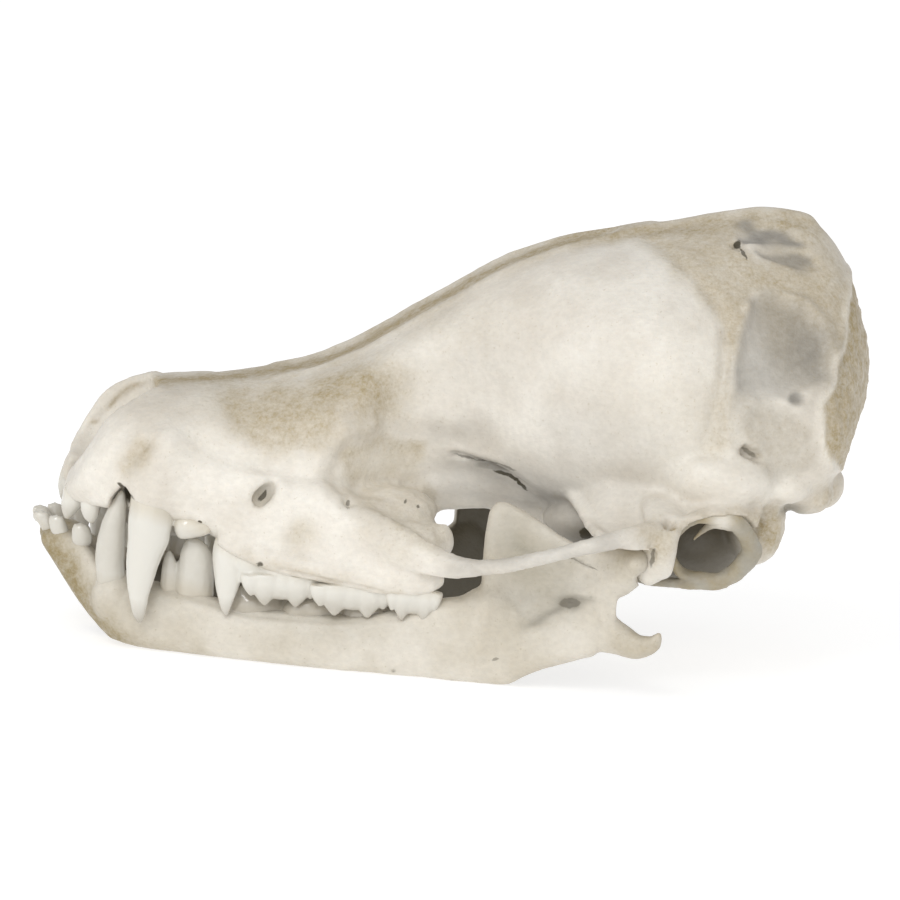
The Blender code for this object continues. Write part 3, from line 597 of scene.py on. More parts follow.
# The last colour of each bone is the colour of its painted shade, which on the jaw also colours smudges and
# cracks.
SKULL_BONE = bone_finish(
    "dry_skull_bone_cleaned", "#e6e1d7", "#d7d0c4", "#a08e66", "#85817a", "#443d2b", SKULL_HOLE_SHADE)
JAW_BONE = bone_finish(
    "dry_jaw_bone_cleaned", "#d5cfc3", "#c4bcac", "#8f7f58", "#8d8878", "#433c29", JAW_SPOTS)
RING_BONE = bone_finish(
    "dry_ear_ring_bone_cleaned", "#aea99c", "#9c9586", "#9a8962", "#858173", "#57503f", [])
ENAMEL = enamel_finish("tooth_enamel_polished_by_use", "#d8d5cc", "#cfc8b9", "#a49c8d")
print("finishes", [made.name for made in (SKULL_BONE, JAW_BONE, RING_BONE, ENAMEL)])


# %% Last step of every piece
def finish(thing, material, slot, *solids):
    """To metres and to its place, smooth shaded, with its finish, and standing for its solids."""
    set_places(thing, (places(thing) - MIDDLE) * MM)
    thing.data.shade_smooth()
    thing.data.materials.clear()
    thing.data.materials.append(material)
    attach(thing, "root")
    if solids:
        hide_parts(*solids)
    thing.data.calc_loop_triangles()
    low, high = places(thing).min(axis=0) / MM, places(thing).max(axis=0) / MM
    count = len(thing.data.loop_triangles)
    print(thing.name, count, "triangles, from", low.round(2), "to", high.round(2), "mm")


# %% [markdown]
# ## The cranium
#
# The cranium is one grown bone: a low snout, a narrow waist between the eyes, and a swollen braincase that
# rises to a crest at the back. Its main shell, the vault, is a loft from the nose to the occiput. Each
# station gives the heights of the midline, of the widest level and of the underside, the half width, and how
# square the upper and lower halves are.

# %% Vault
VAULT = np.array([
    (-12.86, 5.55, 5.30, 5.00, 2.10, 2.2, 2.2),
    (-12.60, 6.10, 5.60, 4.95, 2.65, 2.6, 2.6),
    (-12.12, 7.30, 6.00, 4.90, 3.15, 3.0, 2.8),
    (-11.38, 8.40, 6.40, 4.90, 3.60, 3.0, 3.0),
    (-10.30, 8.86, 6.60, 4.90, 3.90, 3.0, 3.0),
    (-8.50, 9.10, 6.50, 4.75, 4.05, 2.9, 3.0),
    (-6.60, 9.42, 6.50, 4.45, 4.25, 2.8, 3.0),
    (-4.90, 9.80, 7.10, 4.30, 4.45, 2.8, 3.0),
    (-3.90, 10.14, 7.60, 4.30, 4.35, 3.0, 2.8),
    (-3.00, 10.50, 8.30, 4.30, 3.85, 3.1, 2.6),
    (-1.90, 11.22, 9.10, 4.40, 3.10, 3.2, 2.4),
    (-0.80, 11.97, 9.70, 4.75, 2.80, 3.2, 2.4),
    (0.30, 12.68, 10.10, 5.60, 2.95, 3.0, 2.4),
    (1.40, 13.40, 10.30, 6.10, 3.40, 2.8, 2.5),
    (2.60, 14.02, 10.30, 6.00, 4.15, 2.6, 2.7),
    (4.20, 14.65, 10.20, 5.60, 5.10, 2.5, 2.9),
    (6.00, 15.10, 10.10, 5.45, 5.90, 2.3, 3.0),
    (8.00, 15.48, 10.00, 5.35, 6.30, 2.0, 3.0),
    (9.80, 15.90, 9.80, 5.40, 6.30, 1.75, 2.8),
    (11.30, 16.10, 9.50, 5.80, 6.05, 1.55, 2.6),
    (12.45, 15.95, 9.40, 6.15, 5.92, 1.50, 2.5),
    (13.08, 15.58, 9.30, 6.35, 5.80, 1.55, 2.5),
    (13.52, 15.15, 9.20, 6.85, 5.40, 1.62, 2.4),
    (13.90, 14.58, 9.40, 7.45, 4.85, 1.70, 2.3),
    (14.18, 13.95, 9.70, 8.12, 4.15, 1.78, 2.2),
    (14.48, 13.15, 10.10, 8.80, 3.25, 1.84, 2.0),
    (14.78, 12.20, 10.50, 9.60, 2.10, 1.90, 2.0),
    (15.00, 11.15, 10.70, 10.30, 0.80, 2.00, 2.0),
])


VAULT_RINGS, VAULT_AROUND = 120, 112


def vault():
    """The shell: at each x a ring whose half width, reach up and down and fullness are in the table."""
    at, (top, middle, under, half, full_up, full_down) = stations(VAULT, VAULT_RINGS)
    sideways, upwards = ring_offsets(half, top - middle, middle - under, full_up, full_down, VAULT_AROUND)
    x = np.repeat(at[:, None], VAULT_AROUND, axis=1)
    return loft(np.stack([x, sideways, middle[:, None] + upwards], axis=2))


# %% Brain room
BRAIN_WALL = 0.65
BRAIN_ROOF = 1.25 * BRAIN_WALL
BRAIN_RINGS, BRAIN_AROUND = 30, 36
BRAIN_FROM, BRAIN_TO = 1.8, 12.9
FORAMEN = ((13.6, 0.0, 7.1), (1.9, 2.35, 1.75), math.radians(30))


def brain_room():
    """The vault's rings drawn in by the wall's thickness, and rounded off at both ends by (1 - u^4)^0.5."""
    at = np.linspace(BRAIN_FROM, BRAIN_TO, BRAIN_RINGS)
    columns = [curve_through(VAULT[:, 0], VAULT[:, c], at) for c in range(1, 7)]
    top, middle, under, half, full_up, full_down = columns
    ease = np.sqrt(np.clip(1 - np.linspace(-1, 1, BRAIN_RINGS) ** 4, 0.02, 1))
    wide, up, down = half - BRAIN_WALL, top - middle - BRAIN_ROOF, middle - under - BRAIN_WALL
    sideways, upwards = ring_offsets(
        wide * ease, up * ease, down * ease, np.maximum(full_up, 1.7), full_down, BRAIN_AROUND)
    x = np.repeat(at[:, None], BRAIN_AROUND, axis=1)
    return loft(np.stack([x, sideways, middle[:, None] + upwards], axis=2))


# %% [markdown]
# The toothed upper jaw, the cheek bones, the pterygoid plates and the masses round the ear are added to the
# vault on both sides. The root of the cheek bone is a wedge with a hollow upper side, because the wall of the
# braincase sweeps out into it without an edge.

# %% Parts that join the vault
# Rows of (x, middle y, half thickness, low z, high z).
MAXILLA = np.array([
    (-12.78, 1.55, 0.40, 4.95, 5.50),
    (-12.30, 1.87, 0.72, 4.85, 6.00),
    (-11.40, 2.40, 1.20, 4.85, 7.20),
    (-10.40, 2.92, 1.32, 4.85, 8.00),
    (-9.30, 3.12, 1.25, 4.70, 7.90),
    (-8.00, 3.25, 1.18, 4.35, 7.40),
    (-6.50, 3.60, 1.20, 3.50, 7.00),
    (-5.00, 3.88, 1.27, 3.08, 6.70),
    (-3.70, 4.12, 1.32, 2.95, 6.40),
    (-2.40, 4.38, 1.37, 2.90, 5.80),
    (-1.30, 4.52, 1.42, 2.95, 5.45),
    (-0.40, 4.57, 1.37, 3.15, 5.35),
    (0.10, 4.55, 0.95, 3.60, 5.10),
])
# The cheek bone, in rows of (x, y, z, half thickness, half height).
ARCH = np.array([
    (-3.20, 4.90, 5.15, 0.50, 0.85),
    (-1.90, 5.65, 4.80, 0.45, 0.80),
    (-0.70, 6.30, 4.45, 0.36, 0.62),
    (0.40, 6.85, 4.27, 0.30, 0.42),
    (1.60, 7.45, 4.45, 0.27, 0.30),
    (3.20, 8.25, 5.03, 0.26, 0.26),
    (4.60, 8.52, 5.52, 0.27, 0.28),
    (5.80, 8.20, 5.80, 0.32, 0.34),
    (7.00, 7.50, 6.00, 0.40, 0.40),
])
# Rows of (x, inner y, outer y, low z, high z).
CHEEK_ROOT = np.array([
    (3.00, 2.60, 2.90, 6.75, 7.10),
    (3.76, 3.00, 3.50, 6.60, 7.30),
    (4.30, 3.40, 4.30, 6.35, 7.45),
    (4.66, 3.90, 5.20, 6.05, 7.60),
    (4.90, 4.40, 6.30, 5.75, 7.80),
    (5.15, 4.80, 7.30, 5.58, 8.00),
    (5.70, 5.10, 8.10, 5.50, 8.35),
    (6.30, 5.20, 8.45, 5.40, 8.60),
    (7.20, 5.30, 8.15, 5.50, 9.00),
    (8.00, 5.30, 7.75, 6.10, 9.20),
    (8.80, 5.20, 7.55, 6.50, 9.20),
    (9.80, 5.00, 7.20, 6.55, 9.10),
    (11.00, 4.60, 6.30, 6.60, 8.60),
])
# Rounded edges, as (x, y, z, half thickness, half height): the front of the cheek bone's root, the lip over
# the ear's opening, and the margin of the upper jaw that holds the molars.
EDGES = {
    "root_front": np.array([
        (3.00, 2.90, 7.05, 0.20, 0.16),
        (3.76, 3.30, 6.86, 0.22, 0.16),
        (4.31, 3.90, 6.58, 0.22, 0.16),
        (4.66, 4.60, 6.26, 0.22, 0.17),
        (4.90, 5.50, 5.96, 0.22, 0.18),
        (5.05, 6.60, 5.78, 0.22, 0.20),
        (5.30, 7.70, 5.74, 0.22, 0.22),
        (5.70, 8.20, 5.80, 0.22, 0.24),
    ]),
    "ear_lip": np.array([
        (7.50, 7.30, 6.04, 0.14, 0.20),
        (8.10, 7.10, 6.34, 0.16, 0.16),
        (8.80, 6.92, 6.60, 0.17, 0.16),
        (9.60, 6.76, 6.72, 0.17, 0.16),
        (10.35, 6.50, 6.52, 0.17, 0.18),
        (10.80, 6.15, 6.10, 0.17, 0.20),
    ]),
    "tooth_margin": np.array([
        (-7.60, 4.30, 4.42, 0.30, 0.34),
        (-6.50, 4.62, 4.02, 0.40, 0.42),
        (-5.40, 4.86, 3.72, 0.42, 0.44),
        (-4.20, 5.12, 3.60, 0.44, 0.44),
        (-3.00, 5.36, 3.46, 0.46, 0.44),
        (-1.80, 5.58, 3.34, 0.46, 0.44),
        (-0.60, 5.70, 3.40, 0.42, 0.42),
        (0.02, 5.44, 3.66, 0.34, 0.38),
    ]),
}
# The middle of the skull's base and the plates beside it, in rows as in MAXILLA.
KEEL = np.array([
    (-2.60, 0.0, 2.20, 4.45, 7.00),
    (-0.80, 0.0, 2.30, 4.85, 7.40),
    (0.60, 0.0, 2.25, 5.25, 7.40),
    (2.00, 0.0, 2.30, 5.45, 7.20),
    (3.40, 0.0, 2.50, 5.40, 6.90),
    (4.60, 0.0, 2.60, 5.25, 6.50),
    (6.50, 0.0, 2.00, 5.15, 6.10),
    (10.50, 0.0, 1.60, 5.60, 6.50),
    (12.70, 0.0, 2.10, 6.05, 7.05),
])
PTERYGOID = np.array([
    (-0.60, 1.95, 0.26, 4.75, 5.90),
    (0.50, 1.85, 0.26, 5.30, 6.10),
    (1.80, 1.70, 0.26, 5.35, 6.20),
    (3.00, 1.65, 0.26, 4.60, 6.10),
    (4.10, 1.75, 0.26, 4.15, 4.85),
])
# The wall between the jaw joint and the ear, in rows of (z, x, y, half length, half width).
POSTGLENOID = np.array([
    (4.22, 7.50, 6.74, 0.24, 0.22),
    (4.48, 7.46, 6.92, 0.42, 0.34),
    (4.88, 7.42, 7.12, 0.48, 0.42),
    (5.38, 7.40, 7.28, 0.52, 0.50),
    (5.85, 7.36, 7.28, 0.60, 0.56),
    (6.25, 7.38, 6.98, 0.68, 0.56),
    (6.62, 7.40, 6.34, 0.72, 0.54),
    (6.95, 7.38, 5.66, 0.62, 0.50),
])
# Ellipsoids of (middle, radii).
MASSES = {
    "cochlea": ((9.0, 3.1, 4.95), (2.1, 1.7, 1.7)),
    "mastoid": ((10.92, 4.4, 5.9), (1.02, 1.1, 1.5)),
    "joint_wall": ((7.08, 6.9, 4.98), (0.62, 0.44, 1.0)),
    "bulge": ((11.35, 4.95, 7.3), (1.4, 0.95, 0.6)),
    "paroccipital": ((12.65, 3.9, 6.95), (1.0, 1.0, 0.75)),
    "condyle": ((13.38, 2.2, 6.98), (0.86, 0.85, 0.9)),
    "condyle_root": ((13.2, 1.95, 7.8), (0.8, 0.8, 1.0)),
    "back_knob": ((0.0, 4.85, 4.75), (0.5, 0.55, 0.62)),
    "eye_floor": ((-1.75, 3.3, 5.45), (1.75, 1.45, 0.8)),
    "tear_bone": ((-2.55, 4.35, 5.6), (0.6, 0.5, 0.45)),
    "ear_roof": ((9.4, 5.3, 7.65), (2.1, 1.6, 1.25)),
    "glenoid_lip": ((7.0, 5.6, 4.85), (0.95, 0.28, 1.05)),
    "sphenoid": ((5.45, 2.8, 5.35), (1.75, 1.6, 0.95)),
    "palate": ((-8.8, 0.0, 4.25), (2.2, 2.6, 0.6)),
}


def cheek_root(side):
    """A wedge along X: in each section the upper edge is the hollow curve (y, z) = (w(1-s)^1.8, h s^1.8) from
    the cheek up to the braincase, closed below by a level line and inside by an upright one."""
    at, (inner, outer, low, high) = stations(CHEEK_ROOT, 40)
    s = np.linspace(0, 1, 17)
    hollow_y, hollow_z = (1 - s) ** 1.8, s**1.8
    back = np.linspace(1, 0, 9)[1:]
    y = np.concatenate([hollow_y, 0 * back, np.linspace(0, 1, 9)[1:-1]])
    z = np.concatenate([hollow_z, back, 0 * np.linspace(0, 1, 9)[1:-1]])
    y = inner[:, None] + (outer - inner)[:, None] * y[None, :]
    z = low[:, None] + (high - low)[:, None] * z[None, :]
    x = np.repeat(at[:, None], y.shape[1], axis=1)
    return loft(np.stack([x, side * y, z], axis=2))


# %% Openings of the cranium
# Cuts of (middle, radii, tilt), and the two ends of the nose's rim as (x, z).
NOSE_TOP, NOSE_FOOT, NOSE_HALF_WIDTH = np.array((-10.05, 9.15)), np.array((-12.92, 6.05)), 2.25
NOSE_DEEP = ((-10.30, 0.0, 7.00), (2.20, 1.60, 1.20))
PALATE_NOTCH = ((-11.75, 0.0, 5.60), (1.85, 0.95, 1.60))
TIP_GROOVE = ((-11.02, 3.55, 4.95), (0.38, 1.00, 0.76))
TIP_HOLE = ((-10.80, 3.60, 5.56), (0.19, 1.20, 0.48), math.radians(-36))
INFRAORBITAL = ((-6.12, 4.85, 6.06), (0.21, 0.60, 0.60), math.radians(38))
ROOT_HOLE = ((-6.18, 4.95, 3.62), (0.15, 0.42, 0.15))


def nose_opening():
    """An oval tunnel square to the slanted rim: rings of half width w and half length l along the rim's
    slope, at depth d, that shrink inwards as (1 - (d/D)^2)^0.5."""
    slope = NOSE_FOOT - NOSE_TOP
    half_length = np.linalg.norm(slope) / 2
    slope = slope / np.linalg.norm(slope)
    out = np.array((slope[1], -slope[0]))
    depth = np.linspace(-1.25, 1.6, 26)
    scale = np.where(depth < 0, np.sqrt(np.clip(1 - (depth / 1.27) ** 2, 0.03, 1)), 1.0)
    full = np.full(26, 2.5)
    across, along = ring_offsets(
        NOSE_HALF_WIDTH * scale, half_length * scale, half_length * scale, full, full, 48)
    middle = (NOSE_TOP + NOSE_FOOT) / 2
    x = middle[0] + along * slope[0] + depth[:, None] * out[0]
    z = middle[1] + along * slope[1] + depth[:, None] * out[1]
    return loft(np.stack([x, across, z], axis=2))


SKULL_GRAIN = 0.13


def cranium():
    """All the lofts knitted to one skin, carved and relaxed. The brain's room is cut after the relief."""
    shapes = [vault(), beam(KEEL, 2.6, 40, 40, 1)]
    for side in SIDES.values():
        shapes += [beam(MAXILLA, 2.8, 60, 40, side), beam(PTERYGOID, 3.0, 30, 20, side)]
        shapes += [tube(ARCH, 80, 28, side), cheek_root(side), column(POSTGLENOID, 24, 24, side)]
        shapes += [tube(edge, 50, 20, side) for edge in EDGES.values()]
        shapes += [mound(centre, radii, side) for centre, radii in MASSES.values()]
    thing = join("cranium_bone", shapes)
    knit(thing, SKULL_GRAIN)
    cuts = [nose_opening(), mound(*NOSE_DEEP, 1), mound(*PALATE_NOTCH, 1)]
    for side in SIDES.values():
        cuts += [mound(*TIP_GROOVE, side), mound(*ROOT_HOLE, side)]
        cuts += [mound(centre, radii, side, tilt) for centre, radii, tilt in (TIP_HOLE, INFRAORBITAL)]
    carve(thing, cuts)
    knit(thing, SKULL_GRAIN)
    relax(thing, 12)
    return thing


skull = cranium()
print("cranium", len(skull.data.vertices), "points")

# %% [markdown]
# Now the surface is worked like a carving. Ridges where the jaw muscles took hold are raised, the eye's
# hollow and the thin windows at the back are sunk, and small holes for nerves and vessels are pricked in.

# %% Outlines on the side view, as (x, z)
WINDOW = np.array([
    (10.19, 13.81), (11.12, 13.77), (12.02, 13.41), (12.71, 12.81), (12.97, 12.13), (12.8, 11.39),
    (12.17, 10.92), (11.5, 10.76), (10.5, 10.67), (9.83, 10.76), (9.62, 11.58), (9.77, 12.51), (10.0, 13.29),
])
UPPER_WINDOW = np.array([
    (9.86, 15.56), (10.34, 15.8), (11.21, 15.85), (12.09, 15.57), (12.26, 15.4), (11.59, 15.34),
    (10.49, 15.34), (10.0, 15.32),
])
REAR_WINDOW = np.array([
    (10.48, 15.13), (11.16, 15.2), (12.06, 15.18), (12.64, 14.94), (12.67, 14.62), (12.04, 14.61),
    (11.36, 14.78), (10.68, 14.97),
])
SNOUT_PATCH = np.array([
    (-7.63, 9.04), (-6.6, 9.15), (-5.49, 9.35), (-3.91, 9.9), (-3.4, 9.75), (-3.89, 8.98), (-4.03, 7.99),
    (-4.76, 7.54), (-5.62, 7.48), (-6.51, 7.6), (-7.28, 7.96), (-7.67, 8.57),
])
ORBIT_PATCH = np.array([
    (-3.6, 7.57), (-2.44, 7.8), (-1.3, 7.75), (-0.53, 7.66), (-0.49, 7.19), (-1.1, 6.59), (-2.1, 6.45),
    (-3.13, 6.38), (-3.46, 6.77),
])
HELMET = np.array([
    (6.48, 15.02), (7.36, 15.27), (8.57, 15.55), (9.58, 15.7), (9.92, 15.22), (10.35, 14.77), (11.05, 14.1),
    (10.15, 13.84), (9.87, 12.76), (9.63, 12.29), (9.17, 12.59), (8.81, 13.05), (8.6, 13.49), (8.05, 14.05),
    (7.34, 14.62),
])
LOW_SIDE = np.array([
    (3.33, 9.3), (5.12, 9.76), (7.19, 9.29), (7.6, 7.9), (6.6, 6.8), (5.23, 6.84), (3.99, 7.39),
])
EAR_SIDE = np.array([
    (9.7, 10.49), (11.66, 10.17), (12.47, 9.51), (12.8, 8.09), (11.87, 7.66), (10.76, 8.04), (10.15, 9.11),
])
OCCIPUT = np.array([
    (14.4, 14.8), (13.93, 14.18), (13.68, 13.5), (13.42, 12.32), (13.05, 11.13), (12.64, 10.29),
    (12.84, 8.93), (13.3, 8.1), (13.9, 7.85), (14.7, 7.95), (15.6, 9.0), (15.8, 12.0), (15.2, 14.4),
])
POROUS_FLOOR = np.array([
    (-3.2, 6.3), (-1.96, 6.6), (-1.0, 6.5), (0.1, 6.0), (0.3, 5.1), (-0.3, 4.6), (-1.33, 5.0),
])

# %% Ridges and hollows
SKULL_RELIEF = {
    "temporal_ridge": (0.13, 0.28, [
        (-5.6, 1.25, 9.43), (-4.31, 1.25, 9.82), (-3.04, 1.2, 10.49), (-1.75, 1.2, 11.37),
        (-0.49, 1.2, 12.17), (0.76, 1.2, 13.12), (2.07, 1.2, 13.76), (3.35, 1.1, 14.28), (4.44, 0.95, 14.66),
        (5.52, 0.7, 15.0), (7.0, 0.35, 15.4),
    ]),
    "crest": (0.2, 0.42, [
        (6.2, 0.0, 15.1), (8.0, 0.0, 15.6), (9.8, 0.0, 16.0), (11.4, 0.0, 16.1), (12.4, 0.0, 15.9),
    ]),
    "nape_crest": (0.1, 0.14, OCCIPUT, "rim"),
    "braincase_edge": (-0.16, 0.3, [
        (6.9, 1.6, 15.0), (7.7, 3.2, 14.5), (8.8, 4.5, 13.6), (9.2, 5.2, 12.7), (9.2, 6.0, 11.3),
        (9.0, 6.2, 9.75), (8.7, 6.2, 8.6),
    ]),
    "bulge_rim": (0.06, 0.16, [
        (6.5, 1.4, 15.0), (7.4, 3.3, 14.5), (8.5, 4.6, 13.6), (8.9, 5.3, 12.7), (8.9, 6.0, 11.3),
    ]),
    "ear_pillar": (0.16, 0.24, [
        (10.1, 4.55, 13.4), (9.75, 5.5, 12.3), (9.45, 6.1, 11.0), (9.3, 6.25, 9.6), (9.6, 6.2, 8.6),
    ]),
    "ear_arch": (0.12, 0.22, [(9.7, 6.2, 9.6), (10.3, 6.1, 10.35), (11.2, 5.9, 10.5), (12.2, 5.6, 10.2)]),
    "big_window": (-0.2, 0.22, WINDOW),
    "big_window_rim": (0.15, 0.16, [
        (10.0, 4.7, 13.5), (10.4, 4.2, 13.95), (11.2, 3.9, 13.95), (12.2, 3.7, 13.55), (12.95, 4.0, 12.8),
        (13.1, 4.5, 12.0), (12.9, 5.0, 11.1), (12.3, 5.4, 10.7),
    ]),
    "window_streak": (0.08, 0.1, [(10.0, 5.9, 11.35), (10.6, 5.6, 11.6), (11.1, 5.3, 12.0)]),
    "upper_window": (-0.16, 0.14, UPPER_WINDOW),
    "rear_window": (-0.15, 0.14, REAR_WINDOW),
    "window_bar": (0.12, 0.12, [(10.2, 2.25, 15.2), (11.3, 1.85, 15.27), (12.3, 1.4, 15.25)]),
    "crest_hole": (-0.42, 0.19, (9.83, 2.4, 15.22), 2),
    "oval_window": (-0.2, (0.32, 0.5, 0.18), (11.79, 5.6, 10.56), 2),
    "almond_slot": (-0.5, 0.17, [(10.1, 6.2, 8.74), (10.55, 6.1, 8.46)], 2),
    "bead": (0.16, (0.32, 0.4, 0.2), (10.45, 6.1, 9.0)),
    "orbit": (-0.08, (1.35, 1.2, 0.65), (-1.8, 3.0, 7.15)),
    "orbit_brow": (0.12, 0.42, [(-3.4, 4.2, 8.35), (-2.2, 3.4, 8.5), (-0.8, 2.9, 8.7), (0.5, 2.9, 8.6)]),
    "orbit_rim": (0.2, 0.42, [
        (-2.6, 3.7, 8.45), (-3.6, 4.2, 8.25), (-4.2, 4.45, 7.7), (-4.45, 4.5, 6.9), (-4.2, 4.9, 6.2),
        (-3.6, 5.3, 5.6), (-2.8, 5.6, 5.1), (-2.0, 6.0, 4.9),
    ]),
    "orbit_rim_inside": (-0.07, 0.26, [
        (-3.5, 4.1, 7.6), (-3.75, 4.3, 6.9), (-3.5, 4.7, 6.2), (-2.9, 5.0, 5.6), (-2.1, 5.4, 5.2),
        (-1.2, 5.8, 4.9),
    ]),
    "orbit_pit": (-0.5, 0.17, (-3.3, 5.05, 5.9)),
    "zygoma_edge": (0.08, 0.16, [(-2.0, 6.1, 4.85), (-1.1, 6.5, 4.65), (-0.2, 6.9, 4.5), (0.6, 7.2, 4.5)]),
    "snout_hollow": (-0.24, 0.9, SNOUT_PATCH),
    "canine_root": (0.26, 0.7, [(-10.0, 4.3, 5.4), (-9.8, 4.2, 6.5), (-9.5, 3.9, 7.6)]),
    "pit_before_canine": (-0.24, 0.24, [(-10.35, 4.1, 7.4), (-10.75, 3.9, 6.7)]),
    "hole_by_tip": (-0.5, 0.13, (-11.15, 3.55, 5.95), 2),
    "nose_rim": (0.12, 0.15, [
        (-12.45, 1.8, 6.1), (-12.25, 2.3, 6.5), (-11.85, 2.45, 7.1), (-11.2, 2.35, 7.9), (-10.5, 2.1, 8.5),
        (-9.8, 1.5, 8.9),
    ]),
    "side_root": (0.14, (0.6, 0.5, 1.0), (-8.1, 4.2, 6.3)),
    "hole_slope": (-0.17, 0.34, [(-6.75, 4.6, 5.5), (-6.3, 4.6, 5.95)]),
    "hole_lip": (0.07, 0.2, [(-6.6, 4.6, 6.6), (-5.9, 4.7, 6.75), (-5.5, 4.8, 6.3), (-5.6, 4.9, 5.8)]),
    "cheek_hollow": (-0.18, (0.6, 0.6, 0.65), (-4.85, 5.1, 4.75)),
    "root_bulge_front": (0.1, (0.5, 0.5, 0.8), (-6.9, 4.8, 4.7)),
    "root_bulge_rear": (0.1, (0.6, 0.5, 0.5), (-3.6, 5.4, 4.0)),
    "tooth_line": (-0.12, 0.09, [(-5.5, 5.2, 3.45), (-4.0, 5.5, 3.3), (-3.1, 5.75, 3.15), (-2.0, 5.85, 3.1)]),
    "root_hole_rim": (0.1, 0.26, (-6.18, 4.95, 3.78)),
    "small_tooth_holes": (-0.4, 0.13, (-8.97, 4.3, 4.8), 2),
    "small_tooth_hole": (-0.4, 0.13, (-8.28, 4.4, 4.82), 2),
    "small_tooth_lumps": (0.08, 0.16, [(-9.2, 4.3, 5.0), (-8.6, 4.35, 5.05), (-8.0, 4.4, 4.95)]),
    "floor_slot": (-0.36, 0.11, [
        (0.54, 2.6, 7.36), (1.26, 2.6, 7.15), (1.94, 2.8, 6.88), (2.44, 2.8, 6.78), (2.72, 2.9, 6.61),
        (3.07, 3.0, 6.28),
    ]),
    "slot_shelf": (-0.14, 0.2, [(1.2, 2.6, 7.1), (1.8, 2.7, 7.0), (2.3, 2.8, 6.9)]),
    "slot_lip": (0.1, 0.14, [
        (0.4, 2.7, 7.62), (1.3, 2.8, 7.48), (2.0, 3.1, 7.42), (2.7, 3.2, 7.15), (3.3, 3.4, 6.7),
    ]),
    "cheek_window": (-0.5, (0.21, 0.6, 0.16), (7.56, 7.5, 6.3), 3),
    "cheek_prick": (-0.15, 0.08, (7.03, 7.3, 7.0)),
    "cheek_prick_rear": (-0.15, 0.08, (7.51, 7.1, 7.05)),
    "joint_line": (-0.16, 0.12, [(7.02, 7.6, 5.6), (7.0, 7.6, 5.2), (7.0, 7.5, 4.7)]),
}
SKULL_ROUGH = {
    "porous_floor": (0.032, 0.25, POROUS_FLOOR),
    "mastoid": (0.08, (0.8, 1.6, 1.1), (11.1, 5.2, 6.1)),
    "ear_side": (0.018, 0.4, EAR_SIDE),
    "snout": (0.01, 0.6, SNOUT_PATCH),
    "occiput": (0.03, 0.5, OCCIPUT),
    "tooth_margin": (0.02, 0.4, [(-9.2, 4.3, 4.9), (-7.0, 4.8, 4.3), (-4.0, 5.6, 3.8), (-1.0, 6.0, 3.7)]),
}
keep_places(skull)
raise_by(skull, SKULL_RELIEF, 0.02, 2.2, SKULL_ROUGH)
relax(skull, 1)

# %% Hollow for the brain
carve(skull, [brain_room(), mound(*FORAMEN[:2], 1, FORAMEN[2])])
print("hollowed", len(skull.data.vertices), "points")

# %% [markdown]
# Colour follows the bone's history, with painted light and shade laid over it. The crown of the head, the eye
# hollow and the strip behind the braincase kept their grease and are tan. The windows at the back are so thin
# that they look grey, with a painted shade over their rear part. The side of the braincase is thin too, and
# is painted a pale blue grey with a painted gleam, as light on its curve. Holes, hollows and the brain's room
# are painted dark as shade, and the eye hollow and the rims are painted paler as if lit.

